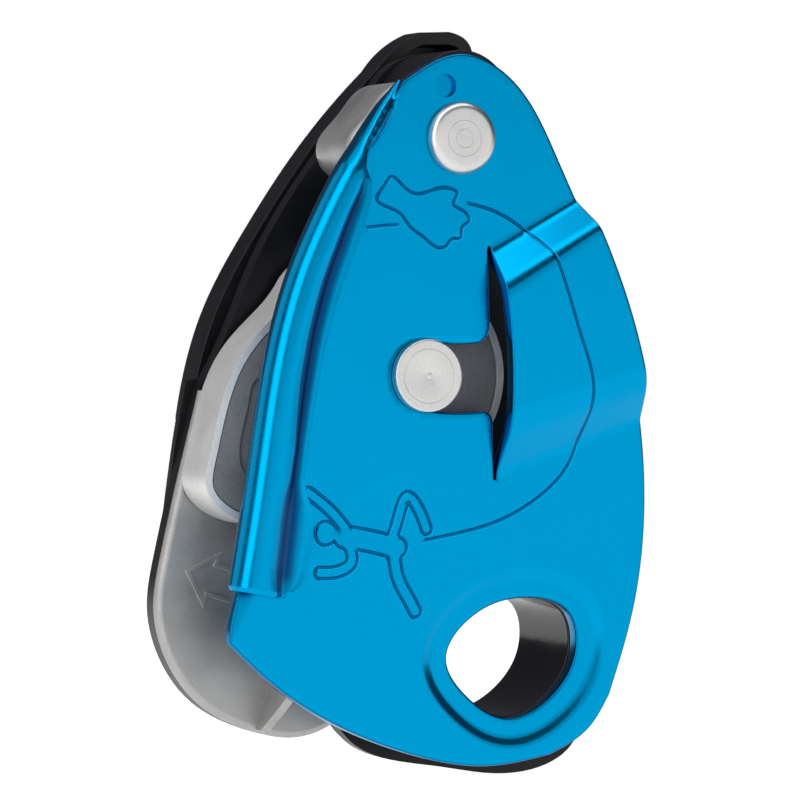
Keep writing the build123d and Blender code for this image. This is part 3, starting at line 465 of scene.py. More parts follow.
def add(tree, kind, inputs=None, **settings):
    """Adds a node, sets its properties, and sets or links its inputs."""
    node = tree.nodes.new(kind)
    for key, value in settings.items():
        setattr(node, key, value)
    for key, value in (inputs or {}).items():
        if isinstance(value, bpy.types.NodeSocket):
            tree.links.new(value, node.inputs[key])
        else:
            node.inputs[key].default_value = value
    return node


def per(size):
    """The scale of a noise whose grains are this many millimetres across."""
    return 1.0 / (size * MM)


def rgba(colour, factor=1.0):
    """A linear colour with alpha, made lighter or darker."""
    return [min(1.0, c * factor) for c in colour] + [1.0]


def surface(name, colour, dark, light, grain, bump, rough, patch=6.0, **shader):
    """A material whose colour wanders between a darker and a lighter share of its own, whose
    roughness wanders between two values, and whose surface has a grain of a size and height in mm."""
    material = bpy.data.materials.new(name)
    material.use_nodes = True
    tree = material.node_tree
    tree.nodes.clear()
    place = add(tree, "ShaderNodeTexCoord").outputs["Object"]
    clouds = add(tree, "ShaderNodeTexNoise", {"Vector": place, "Scale": per(patch), "Detail": 4.0})
    grains = add(tree, "ShaderNodeTexNoise", {"Vector": place, "Scale": per(grain), "Detail": 3.0})
    mixed = add(tree, "ShaderNodeMath", {0: clouds.outputs["Fac"], 1: grains.outputs["Fac"]}, operation="ADD")
    half = add(tree, "ShaderNodeMath", {0: mixed.outputs[0], 1: 0.5}, operation="MULTIPLY")
    tone = add(tree, "ShaderNodeValToRGB", {"Fac": half.outputs[0]})
    tone.color_ramp.elements[0].position = 0.36
    tone.color_ramp.elements[1].position = 0.64
    tone.color_ramp.elements[0].color = rgba(colour, dark)
    tone.color_ramp.elements[1].color = rgba(colour, light)
    gloss = add(tree, "ShaderNodeMapRange", {"Value": half.outputs[0], "From Min": 0.35, "From Max": 0.65,
                                             "To Min": rough[0], "To Max": rough[1]})
    relief = add(tree, "ShaderNodeBump", {"Height": grains.outputs["Fac"], "Strength": 1.0,
                                          "Distance": bump * MM})
    shade = add(tree, "ShaderNodeBsdfPrincipled", {"Base Color": tone.outputs["Color"],
                                                   "Roughness": gloss.outputs["Result"],
                                                   "Normal": relief.outputs["Normal"], **shader})
    add(tree, "ShaderNodeOutputMaterial", {"Surface": shade.outputs["BSDF"]})
    return material, tree, shade, tone, relief, place


def anodised_aluminium(colours):
    """Tumbled, dyed and sealed: an even satin with a clear layer, dark where it was engraved, and darkened by
    painted shade in the fold beside the roll, on the rounded edges and in the dimple.
    """
    material, tree, shade, tone, _, _ = surface(
        "dyed_anodised_aluminium", colours.plate, 0.9, 0.96, 0.3, 0.0001, (0.22, 0.28), patch=9.0,
        **{"Metallic": 1.0})
    # one layer per point holds both the engraved lines and the painted shade; the dye turns towards the
    # engraving colour where it is set
    ink_and_shade = add(tree, "ShaderNodeAttribute", attribute_name="ink_and_shade")
    dyed = add(tree, "ShaderNodeMix", {"Factor": ink_and_shade.outputs["Fac"], 6: tone.outputs["Color"],
                                       7: rgba(colours.engraving, 0.8)}, data_type="RGBA")
    tree.links.new(dyed.outputs[2], shade.inputs["Base Color"])
    return material


def black_aluminium(colours):
    """The fixed side plate: tumbled and dyed black, duller than the blue plate."""
    return surface("black_anodised_aluminium", colours.black, 0.9, 1.5, 0.14, 0.001, (0.34, 0.44),
                   **{"Metallic": 0.6})[0]


def blasted_steel(colours):
    """Stainless steel blasted with glass beads of about 0.1 mm: fine dimples, drawn at 0.2 mm to show."""
    return surface("bead_blasted_stainless", colours.steel, 0.55, 0.8, 0.2, 0.006, (0.42, 0.54),
                   **{"Metallic": 0.8})[0]


def cast_steel(colours):
    """Investment-cast steel, tumbled bright: soft ripples of a few tenths of a millimetre."""
    return surface("tumbled_cast_steel", colours.steel, 0.95, 1.15, 0.35, 0.003, (0.38, 0.48),
                   **{"Metallic": 0.45})[0]


def sintered_insert(colours):
    """Phosphated steel face of the cam: dark grey and fine-grained."""
    return surface("phosphated_steel", colours.insert, 0.66, 1.0, 0.22, 0.005, (0.5, 0.62),
                   **{"Metallic": 0.1})[0]


def moulded_nylon(colours):
    """Glass-filled nylon from a spark-eroded mould: a matt grain of about 0.3 mm over black."""
    return surface("glass_filled_nylon", colours.black, 0.4, 0.85, 0.3, 0.006, (0.36, 0.5),
                   **{"Specular IOR Level": 0.22, "IOR": 1.53})[0]


def polished_nylon(colours):
    """Black nylon from a polished mould, rubbed bright by carabiners."""
    return surface("polished_nylon", colours.black, 0.6, 1.0, 0.6, 0.0012, (0.14, 0.24),
                   **{"Specular IOR Level": 0.3, "IOR": 1.53})[0]


def plated_steel(colours):
    """Zinc-nickel plated small parts: light grey, slightly mottled."""
    return surface("plated_steel", colours.steel, 0.55, 0.7, 0.15, 0.002, (0.28, 0.4), patch=2.0,
                   **{"Metallic": 1.0})[0]


def bearing_bronze(colours):
    """Sintered bronze, with open pores of about 0.1 mm."""
    return surface("sintered_bronze", colours.bronze, 0.7, 1.05, 0.12, 0.004, (0.34, 0.5), patch=1.5,
                   **{"Metallic": 1.0})[0]


def spring_wire(colours):
    """Hard-drawn stainless wire: bright, with faint drawing lines."""
    return surface("drawn_spring_wire", colours.steel, 0.6, 0.8, 0.1, 0.001, (0.22, 0.34), patch=2.0,
                   **{"Metallic": 1.0})[0]


def turned_steel(colours, name, centre, pitch):
    """Stainless steel faced on a lathe: fine rings about the axis, and a satin that catches the light."""
    material, tree, shade, _, relief, place = surface(
        name, colours.steel, 0.94, 1.12, 0.25, 0.0015, (0.3, 0.38), patch=4.0, **{"Metallic": 1.0})
    centred = add(tree, "ShaderNodeMapping", {"Vector": place,
                                              "Location": (-centre[0] * MM, 0.0, -centre[1] * MM)})
    rings = add(tree, "ShaderNodeTexWave", {"Vector": centred.outputs["Vector"], "Scale": WAVE_REPEAT / pitch,
                                            "Distortion": 0.2, "Detail": 2.0},
                wave_type="RINGS", rings_direction="Y")
    ringed = add(tree, "ShaderNodeBump", {"Height": rings.outputs["Fac"], "Normal": relief.outputs["Normal"],
                                          "Distance": 0.0022 * MM})
    tree.links.new(ringed.outputs["Normal"], shade.inputs["Normal"])
    return material


# ---- the moving side plate ----------------------------------------------------------------------


def ease(share, first, last):
    """A ramp from 0 to 1 whose two ends are rounded over shares of its length."""
    t = np.clip(share, 0.0, 1.0)
    slope = 1.0 / (1.0 - (first + last) / 2)
    low = slope * t ** 2 / (2 * first)
    middle_part = slope * (t - first / 2)
    high = 1.0 - slope * (1 - t) ** 2 / (2 * last)
    return np.where(t < first, low, np.where(t < 1 - last, middle_part, high))


def slit_x(z):
    """X of the slit's left side at a height."""
    share = (z - SLIT_BOTTOM[1]) / (SLIT_TOP[1] - SLIT_BOTTOM[1])
    return SLIT_BOTTOM[0] + (SLIT_TOP[0] - SLIT_BOTTOM[0]) * share


def channel_height(x, z):
    """How far the raised channel stands out of the sheet."""
    share = np.clip((x - CHANNEL_SLIT[0]) / (CHANNEL_MOUTH[0] - CHANNEL_SLIT[0]), 0.0, 1.2)
    low_out, low_in, high_in, high_out = [
        slit + (mouth - slit) * share for slit, mouth in zip(CHANNEL_SLIT[1:], CHANNEL_MOUTH[1:])]
    low = ease((z - low_out) / (low_in + LOW_BLEND - low_out), 0.12, 0.5)
    high = ease((high_out - z) / (high_out - high_in), 0.2, 0.35)
    return np.where(x > slit_x(z) + 0.1, CHANNEL_RISE * np.minimum(low, high), 0.0)


def plate_height(points, hole, dish):
    """How far the front of the sheet stands out from its flat part, at each point."""
    x, z = points[:, 0], points[:, 1]
    from_hole = distance(points, hole, closed=True)
    rise = channel_height(x, z) - dish * (1 - ease((from_hole - DISH_LAND) / DISH_SLOPE, 0.3, 0.3))
    (ax, az), (bx, bz) = BEND_LINE
    past = ((z - az) * (bx - ax) - (x - ax) * (bz - az)) / math.hypot(bx - ax, bz - az)
    past = np.clip(-past, 0.0, BEND_REACH)
    corner = np.where(z < BEND_TOP, past, 0.0)
    return rise - corner ** 2 / (2 * BEND_RADIUS)


def plate_outline():
    """The plate's edge, counter-clockwise from the front."""
    top = spline(PLATE_TOP + PLATE_RIGHT[1:])
    lip = spline(PLATE_LIP, 0.4)
    margin = spline(HEM_LINE + HEM_FADE, 0.5)
    margin = margin[margin[:, 1] > MARGIN_START]
    clockwise = chain(top, spline(PLATE_CORNER), spline(PLATE_BOTTOM), lip, margin)
    return clockwise[::-1]


def slot_outline():
    """The slot for the axle and the slit beside the raised channel, clockwise from the front."""
    reach = math.hypot(AXLE.x - RIVET.x, AXLE.z - RIVET.z)
    seat = math.degrees(math.atan2(AXLE.z - RIVET.z, AXLE.x - RIVET.x))
    upper = arc((RIVET.x, RIVET.z), reach - NECK_SLOT, seat, seat + 15.5)
    lower = arc((RIVET.x, RIVET.z), reach + NECK_SLOT, seat + 15.0, seat)
    round_seat = arc((AXLE.x, AXLE.z), NECK_SLOT, seat, seat - 180)
    top_corner = spline([upper[-1], (slit_x(44.3) - 0.3, 44.4), (slit_x(46.5), 46.5)], 0.3)
    low_corner = spline([(slit_x(31.5), 31.5), (slit_x(33.2) - 0.3, 33.4), lower[0]], 0.3)
    heights = np.linspace(SLIT_TOP[1], SLIT_BOTTOM[1], 64)
    bow = np.sin(math.pi * (heights - SLIT_BOTTOM[1]) / (SLIT_TOP[1] - SLIT_BOTTOM[1]))
    right = np.column_stack([slit_x(heights) + 0.3 + SLIT_BULGE * bow ** 1.5, heights])
    up, down = (np.column_stack([slit_x(run), run]) for run in (np.arange(46.9, SLIT_TOP[1], 0.5),
                                                                np.arange(25.2, 31.2, 0.5)))
    tip_top = [(SLIT_TOP[0] + 0.05, SLIT_TOP[1] + 0.2), (SLIT_TOP[0] + 0.22, SLIT_TOP[1] + 0.22)]
    tip_low = [(SLIT_BOTTOM[0] + 0.25, SLIT_BOTTOM[1] - 0.2), (SLIT_BOTTOM[0] + 0.05, SLIT_BOTTOM[1] - 0.18)]
    return chain(down, low_corner, lower, round_seat, upper, top_corner, up, tip_top, right, tip_low)


def engraved_lines():
    """Each engraved line, and whether it is closed."""
    lines = [(spline(MITTEN, 0.4, closed=True), True), (spline(ROPE), False), (spline(ROPE_END), False)]
    figure = [circle(HEAD_CENTRE, HEAD_SIZE, 0.3)] + [sausage(path, half_width) for path, half_width in LIMBS]
    for outline in figure:
        hidden = np.zeros(len(outline), bool)
        for other in figure:
            if other is not outline:
                hidden |= inside(outline, [other])
        if not hidden.any():
            lines.append((outline, True))
            continue
        first = int(np.argmax(hidden))
        outline, hidden = np.roll(outline, -first, axis=0), np.roll(hidden, -first)
        ends = np.flatnonzero(np.diff(np.concatenate([hidden, [True]]).astype(int)))
        for start, end in zip(ends[::2], ends[1::2]):
            if end - start > 2:
                lines.append((outline[start + 1:end + 1], False))
    return lines


def near(points, line):
    """Which points lie in the box round a line, a millimetre wider."""
    return (points > line.min(0) - 1.0).all(1) & (points < line.max(0) + 1.0).all(1)


def plate_grid(loops, lines, keep_off):
    """Points spread over the sheet, closer together where it bends."""
    coarse, fine = 0.95, 0.42
    spread = []
    for pitch, low, high in ((coarse, (-44.0, -16.0), (21.0, 83.0)), (fine, (-6.0, 22.0), (21.5, 72.0)),
                             (fine, (-15.0, -13.5), (15.5, 13.5)), (fine, (-43.5, 1.0), (-34.0, 12.0))):
        x, z = np.meshgrid(np.arange(low[0], high[0], pitch), np.arange(low[1], high[1], pitch * 0.87))
        x = x + (np.arange(len(x)) % 2)[:, None] * pitch / 2
        spread.append((pitch, np.column_stack([x.ravel(), z.ravel()]), low, high))
    flat = spread[0][1]
    for _, _, low, high in spread[1:]:
        flat = flat[~((flat > low).all(1) & (flat < high).all(1))]
    points = np.vstack([flat] + [s[1] for s in spread[1:]])
    points = points[inside(points, loops)]
    for loop in loops:
        points = points[distance(points, loop, closed=True) > 0.3]
    for line, closed in lines:
        close = near(points, line)
        clear = ~close
        clear[close] = distance(points[close], line, closed) > keep_off
        points = points[clear]
    return points


def sheet_shell(sizes):
    """The flat and pressed sheet: its points, faces, and at each point how far it turns to the engraving colour,
    for engraved lines and for painted shade on its rounded edges and in its dimple.
    """
    edge = sizes.sheet_edge / MM
    groove = sizes.groove_width / MM / 2
    hole = spline(HOLE_POINTS, 0.5, closed=True)
    outlines = [plate_outline(), hole, slot_outline(), circle((RIVET.x, RIVET.z), 3.45)[::-1]]
    rims, bases = [], []
    for outline in outlines:
        out = sideways(outline, closed=True)
        rims.append(out)
        bases.append(outline - out * edge)
    lines = engraved_lines()
    points = [*bases]
    loops = [True] * len(bases)
    for line, closed in lines:
        out = sideways(line, closed)
        for offset in (-groove, -groove * 0.5, 0.0, groove * 0.5, groove):
            points.append(line + out * offset)
            loops.append(closed)
    for radius in (DIMPLE_RADIUS, DIMPLE_RADIUS - 0.1):
        points.append(circle(DIMPLE, radius, 0.25))
        loops.append(True)
    links, first = [], 0
    for run, closed in zip(points, loops):
        n = len(run)
        links += [(first + i, first + (i + 1) % n) for i in range(n if closed else n - 1)]
        first += n
    points.append(plate_grid(bases, lines, groove + 0.15))
    every = np.vstack(points)
    made, _, faces, source, _, _ = delaunay_2d_cdt([Vector(p) for p in every], links, [], 0, 1e-5, True)
    flat = np.array([tuple(p) for p in made])
    triangles = np.array([f for f in faces if len(f) == 3])
    centres = flat[triangles].mean(axis=1)
    triangles = triangles[inside(centres, bases)]
    a, b, c = (flat[triangles[:, i]] for i in range(3))
    turn = (b[:, 0] - a[:, 0]) * (c[:, 1] - a[:, 1]) - (b[:, 1] - a[:, 1]) * (c[:, 0] - a[:, 0])
    triangles[turn < 0] = triangles[turn < 0][:, ::-1]
    triangles = triangles[np.abs(turn) > 1e-7]

    rise = plate_height(flat, hole, sizes.dish / MM)
    ink_and_shade = np.zeros(len(flat))
    sunk = np.zeros(len(flat))
    for line, closed in lines:
        close = near(flat, line)
        away = distance(flat[close], line, closed) / groove
        for level, at_middle in ((ink_and_shade, GROOVE_MIDDLE_INK), (sunk, 1.0)):
            level[close] = np.maximum(level[close], np.interp(away, [0.0, 0.5, 0.98], [at_middle, 1.0, 0.0]))
    sunk *= sizes.groove_depth / MM
    dimpled = np.linalg.norm(flat - np.array(DIMPLE), axis=1) < DIMPLE_RADIUS - 0.05
    sunk[dimpled] = DIMPLE_DEPTH
    # painted shade in the dimple's hollow
    ink_and_shade[dimpled] = 0.12
    front = np.column_stack([flat[:, 0], MOVING_FRONT - rise + sunk, flat[:, 1]])
    back = np.column_stack([flat[:, 0], MOVING_BACK - rise, flat[:, 1]])
    shell = [front, back]
    inks_and_shades = [ink_and_shade, ink_and_shade * 0]
    n = len(flat)
    quads = []
    where = {}
    for new, olds in enumerate(source):
        for old in olds:
            where[old] = new
    total, first = 2 * n, 0
    for out, base in zip(rims, bases):
        at = np.array([where[first + i] for i in range(len(base))])
        first += len(base)
        layers = [at]
        for start, sign in ((MOVING_FRONT, 1), (MOVING_BACK, -1)):
            span = range(1, EDGE_STEPS + 1)
            for k in span if sign == 1 else reversed(span):
                a = math.pi / 2 * k / EDGE_STEPS
                p = base + out * edge * math.sin(a)
                y = start - rise[at] + sign * edge * (1 - math.cos(a))
                shell.append(np.column_stack([p[:, 0], y, p[:, 1]]))
                # painted shade on the rounded edges
                inks_and_shades.append(np.full(len(base), EDGE_PAINTED_SHADE))
                layers.append(np.arange(total, total + len(base)))
                total += len(base)
        layers.append(at + n)
        for one, two in zip(layers, layers[1:]):
            quads += [(int(one[i]), int(two[i]), int(two[(i + 1) % len(one)]), int(one[(i + 1) % len(one)]))
                      for i in range(len(one))]
    solid = [tuple(int(i) for i in t) for t in triangles]
    solid += [tuple(int(i) + n for i in t[::-1]) for t in triangles]
    return np.vstack(shell), solid + quads, np.concatenate(inks_and_shades)


def roll_section(z, sizes):
    """The folded margin cut across: outer points, from its root behind the sheet round to the flap's
    free edge, as distance to the left of the roll's middle and height over the sheet's front."""
    left, crest_at, turn, valley, edge, flap = (np.interp(z, ROLL[:, 0], ROLL[:, i]) for i in range(1, 7))
    radius = min(ROLL_RADIUS, left)
    back = -SHEET - ROLL_SINK
    crest = back + 2 * radius
    flap = flap * sizes.flap / MM / ROLL[0, 6]
    floor = flap - FLOOR_DROP * flap
    wrinkle = 0.05 * math.sin(5.0 * z) * np.interp(z, [67.5, 69.0, 75.0, 76.0], [0.0, 1.0, 1.0, 0.0])
    points = [(crest_at - 1.4, back + 0.02), (crest_at - 0.7, back + 0.01)]
    for k in range(17):
        a = math.radians(-90 + 180 * k / 16)
        points.append((crest_at + (left - crest_at) * math.cos(a), back + radius + radius * math.sin(a)))
    points[-1] = (crest_at, crest + wrinkle)
    drop = crest - floor
    for share, fall in SHOULDER:
        points.append((crest_at + (turn - crest_at) * share, crest + wrinkle * (1 - share) - drop * fall))
    for share, fall in DESCENT:
        points.append((turn + (valley - turn) * share, crest - drop * fall))
    rest = edge - valley
    lip = min(0.1, 0.2 * flap)
    rise = min(FLAP_RISE, 0.45 * abs(rest))
    points += [(valley - rise * 0.5, floor + 0.45 * (flap - floor)), (valley - rise, flap - 0.02)]
    flat = min(0.5, 0.45 * abs(rest + rise))
    points += [(valley - rise + (rest + rise + flat) * 0.5, flap), (edge + flat, flap)]
    points += [(edge + flat * 0.45, flap + lip), (edge + flat * 0.2, flap + lip), (edge, flap - lip * 0.5),
               (edge - 0.02, flap - 4 * lip)]
    return np.array(points), min(ROLL_WALL, 0.8 * radius)


def roll_shell(sizes):
    """The rolled hem of the margin with its flap."""
    line = spline(HEM_LINE + HEM_FADE, 0.4)
    side = -sideways(line)
    kept = line[:, 1] > ROLL_START
    line, side = line[kept], side[kept]
    points, faces, ink_and_shade = [], [], []
    for k, ((x, z), (sx, sz)) in enumerate(zip(line, side)):
        outer, thick = roll_section(z, sizes)
        out = sideways(outer)
        inner = outer - out * thick
        floor = min(0.1, outer[-4, 1] - 0.3)
        inner[-5:, 1] = np.clip(inner[-5:, 1], floor, outer[-5:, 1] - 0.1)
        inner[-5:, 0] = outer[-5:, 0] + 0.05
        if k == 0:
            outer, inner = outer - out * 0.18, inner + out * 0.18
        loop = np.vstack([outer, inner[::-1]])
        points += [(x + u * sx, MOVING_FRONT - d, z + u * sz) for u, d in loop]
        # painted shade in the fold beside the roll, fading out towards both ends
        share = np.interp(z, *VALLEY_SHADE_FADE)
        ink_and_shade += list(share * np.interp(np.arange(len(outer)), *VALLEY_PAINTED_SHADE)) + [0.0] * len(inner)
    n = len(loop)
    m = n // 2
    for k in range(len(line) - 1):
        faces += [(k * n + i, k * n + (i + 1) % n, (k + 1) * n + (i + 1) % n, (k + 1) * n + i) for i in range(n)]
    for first in (0, (len(line) - 1) * n):
        faces += [(first + i, first + i + 1, first + n - 2 - i, first + n - 1 - i) for i in range(m - 1)]
    return points, faces, ink_and_shade


class BELAY_OT_moving_plate(bpy.types.Operator):
    """Adds the dyed side plate with its channel, rolled hem, pressed ring and engraving"""

    bl_idname = "belay.moving_plate"
    bl_label = "Moving side plate"

    def execute(self, context):
        sizes = context.scene.belay_sizes
        points, faces, ink_and_shade = sheet_shell(sizes)
        mesh = bpy.data.meshes.new("blue_side_plate")
        roll_points, roll_faces, roll_shade = roll_shell(sizes)
        roll = closed_mesh("roll", [(roll_points, roll_faces)])
        count = len(points)
        roll_at = np.array([v.co for v in roll.vertices]) / MM
        joined = np.vstack([points, roll_at]) * MM
        polygons = faces + [tuple(i + count for i in p.vertices) for p in roll.polygons]
        mesh.from_pydata(joined.tolist(), [], polygons)
        bpy.data.meshes.remove(roll)
        # how far each point turns to the engraving colour: engraved lines and painted shade
        ink_and_shade_layer = mesh.attributes.new("ink_and_shade", "FLOAT", "POINT")
        ink_and_shade_layer.data.foreach_set("value", np.concatenate([ink_and_shade, roll_shade]))
        smooth(mesh, 33.0)
        new_piece("blue_side_plate", mesh, "moving_plate", anodised_aluminium(context.scene.belay_colours),
                  "moving_side_plate")
        return {"FINISHED"}


# ---- the other pieces ---------------------------------------------------------------------------


class BELAY_OT_body(bpy.types.Operator):
    """Adds the fixed side plate, rear cover, attachment bushing and top spacer"""

    bl_idname = "belay.body"
    bl_label = "Fixed plate, cover and spacers"

    def execute(self, context):
        colours = context.scene.belay_colours
        nylon = moulded_nylon(colours)
        soften_all(
            context,
            ("fixed_side_plate", "black_side_plate", "frame", black_aluminium(colours), 1.0),
            ("rear_cover", "moulded_cover", "frame", nylon, 1.0),
            ("attachment_bushing", "hole_bushing", "frame", polished_nylon(colours), 1.6),
            ("top_spacer", "head_spacer", "frame", nylon, 1.6))
        return {"FINISHED"}


class BELAY_OT_wear_plate(bpy.types.Operator):
    """Adds the blasted wear plate and the block that the rope is pinched against"""

    bl_idname = "belay.wear_plate"
    bl_label = "Wear plate and anvil"

    def execute(self, context):
        colours = context.scene.belay_colours
        soften_all(
            context,
            ("wear_plate", "blasted_wear_plate", "frame", blasted_steel(colours), 0.8),
            ("brake_anvil", "rope_anvil", "frame", blasted_steel(colours), 1.8, 24.0))
        return {"FINISHED"}


class BELAY_OT_cam(bpy.types.Operator):
    """Adds the cam with its dark face, its bush and its release peg"""

    bl_idname = "belay.cam"
    bl_label = "Cam"

    def execute(self, context):
        colours = context.scene.belay_colours
        soften_all(
            context,
            ("cam", "cast_cam", "cam", cast_steel(colours), 1.6),
            ("cam_face_insert", "cam_dark_face", "cam", sintered_insert(colours), 0.7),
            ("cam_bush", "bronze_cam_bush", "cam", bearing_bronze(colours), 0.5),
            ("release_peg", "cam_release_peg", "cam", plated_steel(colours), 0.5))
        return {"FINISHED"}


def turned_head(name, centre, profile, material, node):
    """A turned piece of the fixed body; facets that meet at 16 degrees or more keep their edge."""
    mesh = closed_mesh(name, [turned(centre, profile)])
    smooth(mesh, 16.0)
    new_piece(name, mesh, "frame", material, node)


class BELAY_OT_heads(bpy.types.Operator):
    """Adds the turned rivet and axle, with their washers and retaining ring"""

    bl_idname = "belay.heads"
    bl_label = "Rivet and axle"

    def execute(self, context):
        colours = context.scene.belay_colours
        pitch = context.scene.belay_sizes.turning
        small = plated_steel(colours)
        rivet = (RIVET.x, RIVET.z)
        axle = (AXLE.x, AXLE.z)
        rear = depth("plate_rivet", 1)
        groove = 0.025              # depth of the rings cut into each head
        shank, tail = 3.4, 4.45     # radii of the rivet
        profile = [(0.0, HEAD_FRONT)]
        for radius in (1.2, 2.4):
            profile += [(radius, HEAD_FRONT), (radius + 0.06, HEAD_FRONT + groove), (radius + 0.12, HEAD_FRONT)]
        profile += rounded(HEAD_RADIUS, HEAD_FRONT, HEAD_BACK, 1.15, 9)
        profile += [(HEAD_RADIUS, HEAD_BACK), (shank, HEAD_BACK), (shank, FIXED_BACK), (tail, FIXED_BACK)]
        profile += rounded(tail, rear, FIXED_BACK, 0.6, 6)[::-1] + [(0.0, rear)]
        turned_head("turned_rivet", rivet, profile, turned_steel(colours, "faced_steel_rivet", rivet, pitch),
                    "plate_rivet")

        ring_front = depth("retaining_ring", 0) - 0.05
        ring_back = depth("retaining_ring", 1) + 0.05
        neck_back = depth("cam", 0) - 0.3
        end = depth("cam_axle", 1)
        neck, shaft, seat = 4.35, 4.0, 3.3      # radii of the axle: its neck, shaft and ring's groove
        profile = [(0.0, HEAD_FRONT), (0.35, HEAD_FRONT), (0.45, HEAD_FRONT + groove), (0.6, HEAD_FRONT)]
        profile += [(3.6, HEAD_FRONT), (3.68, HEAD_FRONT + groove), (3.76, HEAD_FRONT)]
        profile += [(HEAD_RADIUS - 0.34, HEAD_FRONT)] + rounded(HEAD_RADIUS, HEAD_FRONT, HEAD_BACK, 0.3, 6)
        profile += [(HEAD_RADIUS, HEAD_BACK - 0.12), (HEAD_RADIUS - 0.12, HEAD_BACK), (neck, HEAD_BACK)]
        profile += [(neck, neck_back - 0.15), (neck - 0.15, neck_back), (shaft, neck_back), (shaft, ring_front)]
        profile += [(seat, ring_front), (seat, ring_back), (shaft, ring_back), (shaft, end - 0.35)]
        profile += [(shaft - 0.35, end), (0.0, end)]
        turned_head("turned_axle", axle, profile, turned_steel(colours, "faced_steel_axle", axle, pitch),
                    "cam_axle")
        soften_all(
            context,
            ("axle_washer", "plated_washer", "frame", small, 0.5),
            ("pivot_washer", "nylon_pivot_washer", "frame", moulded_nylon(colours), 0.4),
            ("retaining_ring", "open_retaining_ring", "frame", small, 0.5),
            ("spring_stop_pin", "plated_stop_pin", "frame", small, 0.8))
        return {"FINISHED"}


def group_with(name, inputs):
    """A Geometry Nodes tree with named inputs, and its input and output nodes."""
    tree = bpy.data.node_groups.new(name, "GeometryNodeTree")
    tree.interface.new_socket("Geometry", in_out="INPUT", socket_type="NodeSocketGeometry")
    sockets = {}
    for label, kind in inputs:
        sockets[label] = tree.interface.new_socket(label, in_out="INPUT", socket_type=kind).identifier
    tree.interface.new_socket("Geometry", in_out="OUTPUT", socket_type="NodeSocketGeometry")
    return tree, tree.nodes.new("NodeGroupInput"), sockets


def finish_tree(tree, shape, given):
    """Makes a tree's shape real and gives it the material."""
    real = add(tree, "GeometryNodeRealizeInstances", {"Geometry": shape})
    dressed = add(tree, "GeometryNodeSetMaterial", {"Geometry": real.outputs["Geometry"],
                                                    "Material": given.outputs["Material"]})
    add(tree, "NodeGroupOutput", {"Geometry": dressed.outputs["Geometry"]})


def fastener_tree():
    """Puts a copy of a fastener on every point."""
    tree, given, sockets = group_with("Fasteners on points", [
        ("Fastener", "NodeSocketObject"), ("Size", "NodeSocketFloat"), ("Turn", "NodeSocketFloat"),
        ("Material", "NodeSocketMaterial")])
    shape = add(tree, "GeometryNodeObjectInfo", {"Object": given.outputs["Fastener"], "As Instance": True})
    index = add(tree, "GeometryNodeInputIndex")
    turn = add(tree, "ShaderNodeMath", {0: index.outputs[0], 1: given.outputs["Turn"]}, operation="MULTIPLY")
    about = add(tree, "ShaderNodeCombineXYZ", {"Y": turn.outputs[0]})
    size = add(tree, "ShaderNodeCombineXYZ", {"X": given.outputs["Size"], "Y": 1.0, "Z": given.outputs["Size"]})
    placed = add(tree, "GeometryNodeInstanceOnPoints", {
        "Points": given.outputs["Geometry"], "Instance": shape.outputs["Geometry"], "Rotation": about.outputs[0],
        "Scale": size.outputs[0]})
    finish_tree(tree, placed.outputs["Instances"], given)
    return tree, sockets


def wire_tree():
    """Sweeps round wire along a curve."""
    tree, given, sockets = group_with("Wire along a curve", [
        ("Wire radius", "NodeSocketFloat"), ("Sides", "NodeSocketInt"), ("Material", "NodeSocketMaterial")])
    section = add(tree, "GeometryNodeCurvePrimitiveCircle", {"Resolution": given.outputs["Sides"],
                                                             "Radius": given.outputs["Wire radius"]})
    swept = add(tree, "GeometryNodeCurveToMesh", {"Curve": given.outputs["Geometry"],
                                                  "Profile Curve": section.outputs["Curve"], "Fill Caps": True})
    finish_tree(tree, swept.outputs["Mesh"], given)
    return tree, sockets


def evaluated(base, tree, sockets, values, name):
    """The plain mesh that a tree makes from a base object, which is then removed."""
    modifier = base.modifiers.new(name, "NODES")
    modifier.node_group = tree
    for label, value in values.items():
        modifier[sockets[label]] = value
    graph = bpy.context.evaluated_depsgraph_get()
    mesh = bpy.data.meshes.new_from_object(base.evaluated_get(graph))
    mesh.name = name
    base.modifiers.remove(modifier)
    bpy.data.objects.remove(base)
    smooth(mesh)
    return mesh


def fasteners(name, places, face, shape, material, node, body, tree_sockets, size=1.0, turn=0.7):
    """Like fasteners at points in X and Z, with their face at a depth, as one piece."""
    tree, sockets = tree_sockets
    template = bpy.data.objects.new(name + "_template", closed_mesh(name + "_template", [shape]))
    points = bpy.data.meshes.new(name + "_points")
    points.from_pydata([(x * MM, face * MM, z * MM) for x, z in places], [], [])
    base = bpy.data.objects.new(name + "_points", points)
    for made in (template, base):
        bpy.context.scene.collection.objects.link(made)
    values = {"Fastener": template, "Size": size, "Turn": turn, "Material": material}
    mesh = evaluated(base, tree, sockets, values, name)
    bpy.data.objects.remove(template)
    return new_piece(name, mesh, body, material, node)


